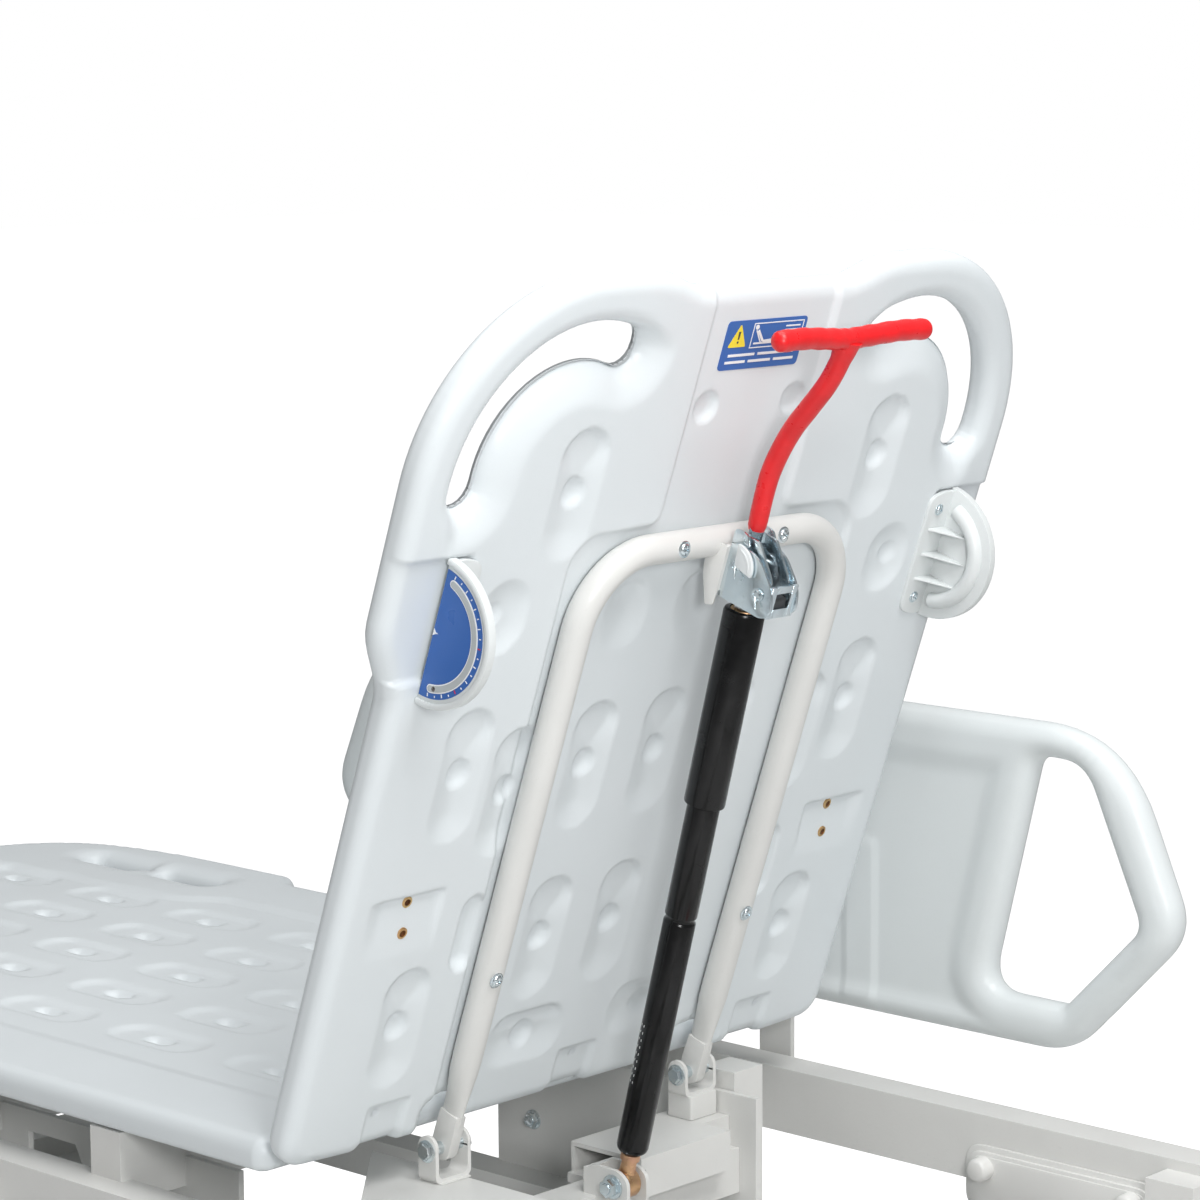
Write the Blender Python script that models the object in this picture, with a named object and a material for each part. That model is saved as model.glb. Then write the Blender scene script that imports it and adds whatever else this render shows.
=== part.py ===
"""Stretcher trolley with a raised backrest, folding side rails and telescopic lift columns.

Metres, +Z up. X runs along the trolley (+X is the head end), Y across it (+Y is the
far side, -Y the near side). The origin is on the floor under the middle of the trolley.
Pieces near the backrest hinge are placed from that hinge's axis, and the backrest's
own pieces are modelled lying flat and raised by an empty on the axis.
"""
from math import atan2, cos, hypot, pi, radians, sin

import bmesh
import bpy
from mathutils import Matrix, Vector

for old in list(bpy.data.objects):
    bpy.data.objects.remove(old, do_unlink=True)

# ---- driving dimensions -------------------------------------------------------------
GAP = 0.0003                       # left between pieces that touch
HALF_LENGTH = 1.03                 # to the outer faces of the corner bumpers
HALF_WIDTH = 0.44
DECK_HALF = 1.0                    # side tubes from the middle, and the end bars' outer faces
HINGE = Vector((0.19, 0.0, 0.70))  # backrest hinge axis, along Y
BACK_ANGLE = radians(71)           # backrest raised at rest
BOARD_THICK = 0.030
BOARD_TOP = 0.037                  # above the hinge axis
LEG_END_GAP = 0.032                # leg board's head edge behind the hinge axis
LEG_LENGTH = 1.138
LEG_HALF_WIDTH = 0.340
BACK_LOW = 0.020                   # backrest board's lower edge along the board
BACK_TOP = 0.773
SHOULDER_CENTRE = (0.622, 0.203)   # along the board, out from its middle
SHOULDER_R = 0.169
HALF_NARROW = 0.345
FRAME_TUBE_R = 0.013
FRAME_LEG_Y = 0.160
FRAME_BAR_T = 0.552                # the U-frame's crossbar along the board
FRAME_BEND = 0.065
RAIL_MID_X = -0.168                # side rail's middle from the hinge
RAIL_HALF = 0.554
RAIL_FOOT = 0.015
RAIL_TOP = 0.319
RAIL_INNER_Y = 0.380
RAIL_THICK = 0.036
RAIL_ARMS = {"foot": -0.400, "head": -0.080}    # each arm from the hinge axis
RAIL_PIVOT = (0.400, -0.068)       # out from the middle, up from the hinge
SIDE_TUBE = (0.323, 0.361, -0.100, -0.037)   # inner, outer, bottom, top
SUB_TOP = -0.144                   # sub-frame under the deck, from the hinge
SUB_BOTTOM = -0.184
SUB_Y = 0.165
SPRING_PIVOT = (0.062, -0.057)     # gas spring's lower pivot from the hinge
SPRING_TOP = (0.212, 0.507)        # and its upper pivot
GAUGE_T = 0.504                    # angle gauge's centre along the board
GAUGE_N = -0.004                   # and behind the hinge plane
GAUGE_R = 0.058
GAUGE_TRACK_R = 0.0435
GAUGE_FACE_Y = 0.318
BALL_R = 0.0041
COLUMN_X = 0.45
COLUMN_FOOT = 0.165
COLUMN_TOP = 0.412
UPPER_FOOT = 0.277                 # inner column's lower end, 0.10 above its lowest place
CASTOR_X = 0.68
CASTOR_Y = 0.27
WHEEL_R = 0.075
TRAIL = 0.035
WHEEL_SIDES = 24
LEVER_PIVOT = (0.530, 0.061)       # release lever's pivot on the backrest, along and behind

SIDES = (("near", -1), ("far", 1))
ENDS = (("foot", -1), ("head", 1))


# ---- materials ----------------------------------------------------------------------
def material(name, colour, roughness, metallic=0.0):
    made = bpy.data.materials.new(name)
    made.use_nodes = True
    shader = made.node_tree.nodes["Principled BSDF"]
    shader.inputs["Base Color"].default_value = (*colour, 1.0)
    shader.inputs["Roughness"].default_value = roughness
    shader.inputs["Metallic"].default_value = metallic
    made.diffuse_color = (*colour, 1.0)
    return made


BOARD = material("moulded_board", (0.80, 0.84, 0.85), 0.38)
PAINT = material("frame_paint", (0.80, 0.79, 0.75), 0.35)
ZINC = material("zinc_plate", (0.62, 0.68, 0.74), 0.28, 1.0)
BRASS = material("yellow_zinc", (0.68, 0.42, 0.24), 0.35, 1.0)
BLACK = material("black_enamel", (0.015, 0.015, 0.017), 0.3)
RED = material("red_dip", (0.75, 0.03, 0.04), 0.35)
RUBBER = material("grey_rubber", (0.22, 0.23, 0.24), 0.7)
COVER = material("cover_plastic", (0.78, 0.81, 0.82), 0.45)
DARK = material("dark_plastic", (0.08, 0.085, 0.09), 0.5)
STEEL = material("column_steel", (0.70, 0.71, 0.72), 0.3, 1.0)


# ---- shapes -------------------------------------------------------------------------
def empty(name, place, turn=(0.0, 0.0, 0.0)):
    made = bpy.data.objects.new(name, None)
    made.location = place
    made.rotation_euler = turn
    bpy.context.scene.collection.objects.link(made)
    return made


def show(name, shape, look, parent=None, smooth=True):
    """Turn a bmesh into the named object of one piece."""
    shape.normal_update()
    bmesh.ops.recalc_face_normals(shape, faces=shape.faces)
    if shape.calc_volume(signed=True) < 0:
        bmesh.ops.reverse_faces(shape, faces=shape.faces)
    mesh = bpy.data.meshes.new(name)
    shape.to_mesh(mesh)
    shape.free()
    mesh.materials.append(look)
    if smooth:
        mesh.shade_smooth()
        mesh.set_sharp_from_angle(angle=radians(32))
    made = bpy.data.objects.new(name, mesh)
    bpy.context.scene.collection.objects.link(made)
    made.parent = parent
    return made


def block(low, high):
    """A box between two corners."""
    shape = bmesh.new()
    bmesh.ops.create_cube(shape, size=1.0)
    low, high = Vector(low), Vector(high)
    for vert in shape.verts:
        for axis in range(3):
            vert.co[axis] = low[axis] if vert.co[axis] < 0 else high[axis]
    return shape


def prism(outline, axis, start, end):
    """An outline in the plane across `axis` (coordinates in X, Y, Z order), made solid."""
    shape = bmesh.new()

    def place(pair, along):
        point = list(pair)
        point.insert(axis, along)
        return shape.verts.new(point)

    first = [place(pair, start) for pair in outline]
    last = [place(pair, end) for pair in outline]
    shape.faces.new(first)
    shape.faces.new(list(reversed(last)))
    for i in range(len(outline)):
        j = (i + 1) % len(outline)
        shape.faces.new((first[i], first[j], last[j], last[i]))
    return shape


def rod(start, end, radius, sides=12, turn=0.0):
    """A round bar between two points."""
    start, end = Vector(start), Vector(end)
    shape = bmesh.new()
    bmesh.ops.create_cone(shape, cap_ends=True, segments=sides, radius1=radius,
                          radius2=radius, depth=(end - start).length)
    aim = (end - start).to_track_quat("Z", "Y").to_matrix().to_4x4()
    shape.transform(Matrix.Translation((start + end) / 2) @ aim @ Matrix.Rotation(turn, 4, "Z"))
    return shape


def ring(centre, axis, outer, inner, half_width, sides=32, turn=0.0):
    """A flat ring about `axis`, centred on `centre`."""
    shape = bmesh.new()
    loops = []
    for radius, across in ((outer, -half_width), (outer, half_width),
                           (inner, half_width), (inner, -half_width)):
        loop = []
        for k in range(sides):
            angle = 2 * pi * (k + 0.5) / sides + turn
            point = [radius * cos(angle), radius * sin(angle)]
            point.insert(axis, across)
            loop.append(shape.verts.new(Vector(point) + Vector(centre)))
        loops.append(loop)
    for one, two in zip(loops, loops[1:] + loops[:1]):
        for k in range(sides):
            j = (k + 1) % sides
            shape.faces.new((one[k], one[j], two[j], two[k]))
    return shape


def sweep(points, radius, sides=12):
    """A round tube of one radius along a path, its ends closed."""
    points = [Vector(p) for p in points]
    shape = bmesh.new()
    loops = []
    up = Vector((0.0, 0.0, 1.0))
    for i, point in enumerate(points):
        before = points[max(i - 1, 0)]
        after = points[min(i + 1, len(points) - 1)]
        ahead = (after - before).normalized()
        side = ahead.cross(up)
        if side.length < 1e-6:
            side = Vector((0.0, 1.0, 0.0))
        side.normalize()
        over = side.cross(ahead)
        loops.append([shape.verts.new(point + radius * (cos(a) * side + sin(a) * over))
                      for a in (2 * pi * k / sides for k in range(sides))])
    for one, two in zip(loops, loops[1:]):
        for k in range(sides):
            j = (k + 1) % sides
            shape.faces.new((one[k], one[j], two[j], two[k]))
    shape.faces.new(loops[0])
    shape.faces.new(list(reversed(loops[-1])))
    return shape


def arc(centre, radius, start, end, steps):
    """Points on a circle, with angles in degrees from the first axis to the second."""
    return [(centre[0] + radius * cos(radians(start + (end - start) * k / steps)),
             centre[1] + radius * sin(radians(start + (end - start) * k / steps)))
            for k in range(steps + 1)]


def rounded(corners, radius, steps=3):
    """A polygon with its corners rounded, by one radius or one for each corner."""
    result = []
    count = len(corners)
    radii = radius if isinstance(radius, list) else [radius] * count
    for i, corner in enumerate(corners):
        here = Vector(corner)
        before = Vector(corners[i - 1]) - here
        after = Vector(corners[(i + 1) % count]) - here
        cut = min(radii[i], before.length * 0.45, after.length * 0.45)
        start = here + before.normalized() * cut
        end = here + after.normalized() * cut
        for k in range(steps + 1):
            f = k / steps
            point = start * (1 - f) ** 2 + here * 2 * f * (1 - f) + end * f ** 2
            result.append((point.x, point.y))
    return result


helpers = 0


def combine(piece, shape, how, parent=None):
    """Join a shape to a piece, or cut it out, with an exact Boolean."""
    global helpers
    helpers += 1
    tool = show(f"helper_{helpers:03d}", shape, PAINT, parent, smooth=False)
    tool.hide_render = True
    tool.display_type = "WIRE"
    change = piece.modifiers.new(how.lower(), "BOOLEAN")
    change.object = tool
    change.operation = how
    change.solver = "EXACT"


def join(piece, *shapes, parent=None):
    for shape in shapes:
        combine(piece, shape, "UNION", parent)


def cut(piece, *shapes, parent=None):
    for shape in shapes:
        combine(piece, shape, "DIFFERENCE", parent)


def at_hinge(low, high):
    """A box whose corners are given from the backrest hinge."""
    return block(Vector(low) + HINGE, Vector(high) + HINGE)


# ---- base: frame, cover, columns, pedals and castors -------------------------------------
BASE_LOW = 0.175
BASE_HIGH = 0.205


def base():
    frame = show("base_frame", block((-0.64, -0.225, BASE_LOW), (0.64, -0.175, BASE_HIGH)), PAINT)
    join(frame, block((-0.64, 0.175, BASE_LOW), (0.64, 0.225, BASE_HIGH)))
    for _, end in ENDS:
        x = end * (CASTOR_X - 0.005)
        join(frame, block((x - 0.045, -0.300, BASE_LOW), (x + 0.045, 0.300, BASE_HIGH)))
        x = end * COLUMN_X
        join(frame, block((x - 0.080, -0.20, COLUMN_FOOT - 0.008), (x + 0.080, 0.20, COLUMN_FOOT)),
             block((x - 0.080, -0.20, COLUMN_FOOT - 0.008), (x + 0.080, -0.165, BASE_HIGH - 0.008)),
             block((x - 0.080, 0.165, COLUMN_FOOT - 0.008), (x + 0.080, 0.20, BASE_HIGH - 0.008)))
        x = end * 0.745
        join(frame, block((min(x, end * 0.70), -0.110, 0.180), (max(x, end * 0.70), -0.095, 0.200)),
             block((min(x, end * 0.70), 0.095, 0.180), (max(x, end * 0.70), 0.110, 0.200)),
             rod((x - end * 0.008, -0.110, 0.190), (x - end * 0.008, 0.110, 0.190), 0.007, 12))
    for _, side in SIDES:
        y = side * 0.245
        for x in (-0.275, 0.075):
            join(frame, block((x - 0.006, min(side * 0.22, y), 0.178),
                              (x + 0.006, max(side * 0.22, y), 0.202)))
        join(frame, rod((-0.275, side * 0.240, 0.190), (0.075, side * 0.240, 0.190), 0.006, 12))

    cover = show("base_cover", prism(rounded([(-0.62, -0.235), (0.62, -0.235), (0.62, 0.235),
                                              (-0.62, 0.235)], 0.06), 2, 0.2066, 0.285), COVER)
    slope = cover.modifiers.new("soft_edge", "BEVEL")
    slope.width = 0.018
    slope.segments = 2
    slope.limit_method = "ANGLE"
    slope.angle_limit = radians(60)
    cut(cover, prism(rounded([(-0.61, -0.225), (0.61, -0.225), (0.61, 0.225), (-0.61, 0.225)],
                             0.055), 2, 0.19, 0.278))
    for _, end in ENDS:
        cut(cover, block((end * COLUMN_X - 0.0715, -0.0915, 0.15), (end * COLUMN_X + 0.0715, 0.0915, 0.35)))
    cut(cover, block((-0.24, -0.10, 0.279), (0.24, 0.10, 0.35)))

    for end_name, end in ENDS:
        x = end * COLUMN_X
        lower = show(f"column_lower_{end_name}",
                     prism(rounded([(x - 0.070, -0.090), (x + 0.070, -0.090), (x + 0.070, 0.090),
                                    (x - 0.070, 0.090)], 0.020), 2, COLUMN_FOOT + GAP, COLUMN_TOP),
                     COVER)
        cut(lower, prism(rounded([(x - 0.0625, -0.0825), (x + 0.0625, -0.0825), (x + 0.0625, 0.0825),
                                  (x - 0.0625, 0.0825)], 0.014), 2, COLUMN_FOOT + 0.006, COLUMN_TOP + 0.01))


def pedals():
    for end_name, end in ENDS:
        x = end * 0.737
        pivot = empty(f"brake_axis_{end_name}", (x, 0.0, 0.190))
        outer = end * 0.078
        pedal = show(f"brake_pedal_{end_name}", rod((0, -0.080, 0), (0, 0.080, 0), 0.014), RED, pivot)
        cut(pedal, rod((0, -0.10, 0), (0, 0.10, 0), 0.0075, 12), parent=pivot)
        for y in (-0.055, 0.055):
            arm = [(0.010 * end, -0.008), (0.010 * end, 0.008), (outer, -0.012), (outer, -0.024)]
            join(pedal, prism(arm, 1, y - 0.006, y + 0.006), parent=pivot)
        pad = block((min(outer - end * 0.006, outer + end * 0.030), -0.080, -0.030),
                    (max(outer - end * 0.006, outer + end * 0.030), 0.080, -0.012))
        join(pedal, pad, parent=pivot)
    for side_name, side in SIDES:
        pivot = empty(f"pump_axis_{side_name}", (-0.10, side * 0.240, 0.190))
        pedal = show(f"pump_pedal_{side_name}", rod((-0.150, 0, 0), (0.150, 0, 0), 0.012), DARK, pivot)
        cut(pedal, rod((-0.20, 0, 0), (0.20, 0, 0), 0.0065, 12), parent=pivot)
        outer = side * 0.085
        for x in (-0.120, 0.120):
            arm = [(side * 0.009, -0.007), (side * 0.009, 0.007), (outer, -0.020), (outer, -0.034)]
            join(pedal, prism(arm, 0, x - 0.006, x + 0.006), parent=pivot)
        pad = block((-0.150, min(outer - side * 0.006, outer + side * 0.040), -0.040),
                    (0.150, max(outer - side * 0.006, outer + side * 0.040), -0.020))
        join(pedal, pad, parent=pivot)


def castors():
    for end_name, end in ENDS:
        for side_name, side in SIDES:
            tag = f"{end_name}_{side_name}"
            swivel = empty(f"swivel_{tag}", (end * CASTOR_X, side * CASTOR_Y, 0.0))
            fork = show(f"castor_fork_{tag}", rod((0, 0, 0.1545), (0, 0, 0.166), 0.034, 16), PAINT, swivel)
            join(fork, rod((0, 0, 0.160), (0, 0, BASE_LOW - GAP), 0.018), parent=swivel)
            cheek = rounded([(-0.028, 0.158), (0.028, 0.158), (-TRAIL + 0.018, WHEEL_R - 0.016),
                             (-TRAIL - 0.018, WHEEL_R - 0.016)], 0.012, 2)
            for y in (-0.0245, 0.0245):
                join(fork, prism(cheek, 1, y - 0.003, y + 0.003), parent=swivel)
            join(fork, rod((-TRAIL, -0.031, WHEEL_R), (-TRAIL, 0.031, WHEEL_R), 0.006, 12), parent=swivel)
            spin = empty(f"spin_{tag}", (-TRAIL, 0.0, WHEEL_R))
            spin.parent = swivel
            outer = WHEEL_R / cos(pi / WHEEL_SIDES)
            show(f"castor_tyre_{tag}", ring((0, 0, 0), 1, outer, 0.056, 0.016, WHEEL_SIDES, pi / 2),
                 RUBBER, spin)
            show(f"castor_hub_{tag}", ring((0, 0, 0), 1, 0.0550, 0.0064, 0.018, WHEEL_SIDES, pi / 2),
                 COVER, spin)


# ---- deck: frame, leg board, brackets, columns and bumpers -----------------------------------
def deck_frame():
    inner, outer, bottom, top = SIDE_TUBE
    start, end = -DECK_HALF - HINGE.x, DECK_HALF - HINGE.x
    frame = show("deck_frame", at_hinge((start, -outer, bottom), (end, -inner, top)), PAINT)
    join(frame, at_hinge((start, inner, bottom), (end, outer, top)))
    for x in (start, end - 0.028):
        join(frame, at_hinge((x, -inner - 0.01, bottom), (x + 0.028, inner + 0.01, top)))
    board_under = BOARD_TOP - BOARD_THICK - GAP
    for x in (-1.10, -0.74, -0.50, -0.24):
        join(frame, at_hinge((x - 0.020, -0.335, top - 0.02), (x + 0.020, 0.335, board_under)))
    # the platform that carries the near hinge bracket
    corners = [(-0.105, -0.146), (0.120, -0.146), (0.120, -inner - 0.01), (0.067, -inner - 0.01)]
    join(frame, prism([(a + HINGE.x, b) for a, b in corners], 2, HINGE.z - 0.050, HINGE.z - 0.028))
    # sub-frame: two longitudinals, their cross tubes and four risers to the side tubes
    for _, side in SIDES:
        y = side * SUB_Y
        join(frame, at_hinge((-0.72, y - 0.020, SUB_BOTTOM), (0.53, y + 0.020, SUB_TOP)))
    for x in (-0.70, -0.10, 0.436):
        join(frame, at_hinge((x - 0.025, -inner - 0.005, SUB_BOTTOM + 0.004),
                             (x + 0.025, inner + 0.005, SUB_TOP - 0.004)))
        for _, side in SIDES:
            low, high = sorted((side * (inner - 0.034), side * (inner + 0.004)))
            join(frame, at_hinge((x - 0.025, low, SUB_BOTTOM + 0.004), (x + 0.025, high, top - 0.01)))
    # head plates over the lift columns
    for _, end_sign in ENDS:
        x = end_sign * COLUMN_X - HINGE.x
        join(frame, at_hinge((x - 0.085, -0.16, SUB_BOTTOM), (x + 0.085, 0.16, SUB_BOTTOM + 0.012)))
    # far side: post beside the gas spring and the plate that stiffens it
    join(frame, at_hinge((-0.012, 0.184, SUB_BOTTOM + 0.01), (0.028, 0.227, -0.024)),
         at_hinge((-0.012, 0.187, -0.030), (0.028, 0.227, -0.003)),
         at_hinge((-0.270, 0.180, SUB_TOP - 0.01), (0.060, 0.186, -0.0204)))
    # near side: pressed web with windows under the leg board and a round cross tube
    join(frame, at_hinge((-0.66, -0.262, -0.082), (-0.150, -0.256, -0.030)), at_hinge((-0.66, -0.33, -0.082), (-0.63, -0.255, -0.040)))
    for x in (-0.400, -0.560):
        window = [(x - 0.040, -0.050), (x + 0.028, -0.050), (x + 0.040, -0.072), (x - 0.040, -0.076)]
        cut(frame, prism([(a + HINGE.x, b + HINGE.z) for a, b in window], 1, -0.270, -0.250))
    tube = Vector((-0.300, 0.0, -0.058)) + HINGE
    join(frame, rod(tube + Vector((0, -0.286, 0)), tube + Vector((0, -0.20, 0)), 0.0175, 16))
    cut(frame, rod(tube + Vector((0, -0.30, 0)), tube + Vector((0, -0.21, 0)), 0.0145, 16))
    # corner brackets of the bumpers
    for _, sx in ENDS:
        for _, sy in SIDES:
            x0, x1 = sorted((sx * 0.935, sx * 1.0))
            y0, y1 = sorted((sy * 0.34, sy * 0.40))
            join(frame, block((x0, y0, 0.618), (x1, y1, 0.630)))


def leg_board():
    """The flat board under the legs, with its hand slots and its wider foot end."""
    start = HINGE.x - LEG_END_GAP
    foot = start - LEG_LENGTH
    wide = LEG_HALF_WIDTH + 0.028
    half = [(start, 0.0), (start, LEG_HALF_WIDTH), (HINGE.x - 0.730, LEG_HALF_WIDTH),
            (HINGE.x - 0.765, wide), (foot + 0.190, wide), (foot + 0.085, wide - 0.030),
            (foot, wide - 0.150), (foot, 0.0)]
    outline = half[1:-1] + [(x, -y) for x, y in reversed(half[1:-1])]
    low = HINGE.z + BOARD_TOP - BOARD_THICK
    board = show("leg_board", prism(rounded(outline, 0.028), 2, low, low + BOARD_THICK), BOARD)
    for _, side in SIDES:
        for x in (HINGE.x - 0.855, HINGE.x - 0.975):
            slot = rounded([(x - 0.048, side * (wide - 0.090)), (x + 0.048, side * (wide - 0.090)),
                            (x + 0.048, side * (wide - 0.064)), (x - 0.048, side * (wide - 0.064))], 0.012)
            cut(board, prism(slot, 2, low - 0.02, low + 0.06))


def hinge_brackets():
    """U brackets of the backrest hinge, their pins, and the far one's short post."""
    for name, side in SIDES:
        y = side * FRAME_LEG_Y
        base_z = -0.0275 if side < 0 else -0.020
        lower = base_z - (0.0 if side < 0 else 0.0213)
        cheek = rounded([(-0.012, base_z), (0.012, base_z), (0.012, 0.006), (0.007, 0.013),
                         (-0.007, 0.013), (-0.012, 0.006)], 0.004)
        cheek = [(a + HINGE.x, b + HINGE.z) for a, b in cheek]
        bracket = show(f"hinge_bracket_{name}", at_hinge((-0.012, y - 0.021, base_z),
                                                         (0.012, y + 0.021, base_z + 0.004)), PAINT)
        for offset in (-0.019, 0.019):
            join(bracket, prism(cheek, 1, y + offset - 0.002, y + offset + 0.002))
        if side > 0:
            join(bracket, at_hinge((-0.015, y - 0.015, lower), (0.015, y + 0.015, base_z + 0.001)))
        cut(bracket, rod((HINGE.x, y - 0.03, HINGE.z), (HINGE.x, y + 0.03, HINGE.z), 0.0063))
        pin = show(f"hinge_pin_{name}", rod((HINGE.x, y - 0.023, HINGE.z), (HINGE.x, y + 0.026, HINGE.z),
                                            0.006), ZINC)
        join(pin, rod((HINGE.x, y - 0.0265, HINGE.z), (HINGE.x, y - 0.0215, HINGE.z), 0.0085, 6))


def spring_anchor():
    """Channel across the deck that holds the gas spring's lower eye, and its bolt."""
    x, z = SPRING_PIVOT
    wall = 0.004
    low, high = -0.070, -0.0416
    channel = [(-0.025, low), (-0.025, high), (0.060, high), (0.060, low), (0.060 - wall, low),
               (0.060 - wall, high - wall), (-0.025 + wall, high - wall), (-0.025 + wall, low)]
    member = show("spring_cross_member", prism([(a + HINGE.x, b + HINGE.z) for a, b in channel], 1,
                                               0.0240, 0.1442), PAINT)
    cheek = rounded([(0.030, -0.078), (0.078, -0.078), (0.078, -0.050), (0.066, -0.042), (0.030, -0.042)],
                    0.010)
    cheek = [(a + HINGE.x, b + HINGE.z) for a, b in cheek]
    join(member, prism(cheek, 1, 0.0105, 0.0145), prism(cheek, 1, -0.0145, -0.0105),
         at_hinge((0.026, -0.0145, -0.078), (0.032, 0.0300, -0.046)),
         at_hinge((-0.024, 0.0180, -0.078), (0.060, 0.1442, -0.069)),
         at_hinge((-0.025, 0.1400, low), (0.0277, 0.1797, high)),
         at_hinge((0.000, -SIDE_TUBE[0] + GAP, -0.112), (0.040, 0.1797, -0.0695)))
    cut(member, rod((x + HINGE.x, -0.03, z + HINGE.z), (x + HINGE.x, 0.03, z + HINGE.z), 0.0053, 16))
    bolt = show("spring_bolt", rod((x + HINGE.x, -0.026, z + HINGE.z), (x + HINGE.x, 0.022, z + HINGE.z),
                                   0.005, 16), ZINC)
    join(bolt, rod((x + HINGE.x, -0.0245, z + HINGE.z), (x + HINGE.x, -0.0165, z + HINGE.z), 0.0085, 6),
         rod((x + HINGE.x, -0.0170, z + HINGE.z), (x + HINGE.x, -0.0150, z + HINGE.z), 0.011, 16),
         rod((x + HINGE.x, 0.0150, z + HINGE.z), (x + HINGE.x, 0.0210, z + HINGE.z), 0.0085, 6))


def accessory_plates():
    """Rounded plates with two hook pegs, on the inner faces of the side tubes."""
    inner = SIDE_TUBE[0]
    for name, side in SIDES:
        start, end = sorted((side * (inner - GAP), side * (inner - 0.008)))
        outline = rounded([(0.194, -0.124), (0.404, -0.124), (0.404, -0.064), (0.194, -0.064)], 0.014)
        outline = [(a + HINGE.x, b + HINGE.z) for a, b in outline]
        plate = show(f"accessory_plate_{name}", prism(outline, 1, start, end), PAINT)
        for x in (0.218, 0.380):
            join(plate, rod((x + HINGE.x, side * (inner - 0.004), HINGE.z - 0.082),
                            (x + HINGE.x, side * (inner - 0.022), HINGE.z - 0.082), 0.011, 16))


def upper_columns():
    for name, end in ENDS:
        x = end * COLUMN_X
        outline = rounded([(x - 0.060, -0.080), (x + 0.060, -0.080), (x + 0.060, 0.080), (x - 0.060, 0.080)],
                          0.012)
        show(f"column_upper_{name}", prism(outline, 2, UPPER_FOOT, HINGE.z + SUB_BOTTOM - GAP), STEEL)


def bumpers():
    for end_name, sx in ENDS:
        for side_name, sy in SIDES:
            radius = 0.050
            spot = (sx * (HALF_LENGTH - radius), sy * (HALF_WIDTH - radius))
            steps = 20
            outline = [(spot[0] + radius * cos(2 * pi * k / steps),
                        spot[1] + radius * sin(2 * pi * k / steps)) for k in range(steps)]
            bumper = show(f"bumper_{end_name}_{side_name}", prism(outline, 2, 0.6305, 0.6605), RUBBER)
            edge = bumper.modifiers.new("round_rim", "BEVEL")
            edge.width = 0.008
            edge.segments = 1
            edge.limit_method = "ANGLE"
            edge.angle_limit = radians(60)
            x0, x1 = sorted((sx * 0.90, sx * (DECK_HALF + GAP)))
            y0, y1 = sorted((sy * 0.30, sy * (SIDE_TUBE[1] + GAP)))
            cut(bumper, block((x0, y0, 0.60), (x1, y1, 0.70)))
            join(bumper, rod((*spot, 0.650), (*spot, 0.668), 0.020))


# ---- side rails -------------------------------------------------------------------------
def rail_outline():
    """One rail's edge from the hinge: long top, sloped ends with a blunt nose."""
    half = [(RAIL_HALF - 0.127, RAIL_FOOT), (RAIL_HALF - 0.004, 0.144), (RAIL_HALF - 0.079, RAIL_TOP)]
    corners = [(RAIL_MID_X + a, b) for a, b in half]
    corners += [(RAIL_MID_X - a, b) for a, b in reversed(half)]
    return rounded(corners, [0.034, 0.034, 0.085, 0.085, 0.034, 0.034], 4)


def hand_opening(end):
    """The five-sided hand opening at one end of a rail."""
    corners = [(0.386, 0.288), (0.439, 0.286), (0.502, 0.144), (0.420, 0.059), (0.330, 0.060)]
    return rounded([(RAIL_MID_X + end * a, b) for a, b in corners], [0.016, 0.048, 0.014, 0.006, 0.034], 3)


def side_rails():
    pivot_y, pivot_z = RAIL_PIVOT
    outer = SIDE_TUBE[1]
    for name, side in SIDES:
        lowered = pi if side < 0 else 0.0
        axis = empty(f"rail_axis_{name}", (HINGE.x, side * pivot_y, HINGE.z + pivot_z), (lowered, 0, 0))

        def place(outline, low_y, high_y):
            shifted = [(a, b - pivot_z) for a, b in outline]
            start, end = sorted((side * (low_y - pivot_y), side * (high_y - pivot_y)))
            return prism(shifted, 1, start, end)

        rail = show(f"side_rail_{name}", place(rail_outline(), RAIL_INNER_Y, RAIL_INNER_Y + RAIL_THICK),
                    BOARD, axis)
        for _, end in ENDS:
            cut(rail, place(hand_opening(end), RAIL_INNER_Y - 0.02, RAIL_INNER_Y + 0.06), parent=axis)
        for end_name, end in ENDS:
            x = RAIL_ARMS[end_name]
            strap = rounded([(x - 0.020, pivot_z), (x + 0.020, pivot_z), (x + 0.020, 0.150),
                             (x - 0.020, 0.150)], 0.008)
            arm = show(f"rail_arm_{name}_{end_name}",
                       place(strap, RAIL_INNER_Y - 0.0063, RAIL_INNER_Y - GAP), PAINT, axis)
            join(arm, rod((x - 0.022, 0, 0), (x + 0.022, 0, 0), 0.013, 16), parent=axis)
            near_strap = sorted((side * (RAIL_INNER_Y - 0.0063 - pivot_y), 0.0))
            join(arm, block((x - 0.020, near_strap[0], -0.004), (x + 0.020, near_strap[1], 0.008)),
                 parent=axis)
            cut(arm, rod((x - 0.05, 0, 0), (x + 0.05, 0, 0), 0.0063), parent=axis)
            plate = sorted((side * (outer + GAP), side * (outer + 0.006)))
            x += HINGE.x
            foot = show(f"rail_hinge_{name}_{end_name}",
                        block((x - 0.040, plate[0], HINGE.z - 0.096), (x + 0.040, plate[1], HINGE.z - 0.040)),
                        PAINT)
            lug = sorted((side * (outer + 0.003), side * (pivot_y + 0.012)))
            for low, high in ((x - 0.036, x - 0.028), (x + 0.028, x + 0.036)):
                join(foot, block((low, lug[0], HINGE.z + pivot_z - 0.012),
                                 (high, lug[1], HINGE.z + pivot_z + 0.012)))
            join(foot, rod((x - 0.040, side * pivot_y, HINGE.z + pivot_z),
                           (x + 0.040, side * pivot_y, HINGE.z + pivot_z), 0.006, 16))


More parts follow.
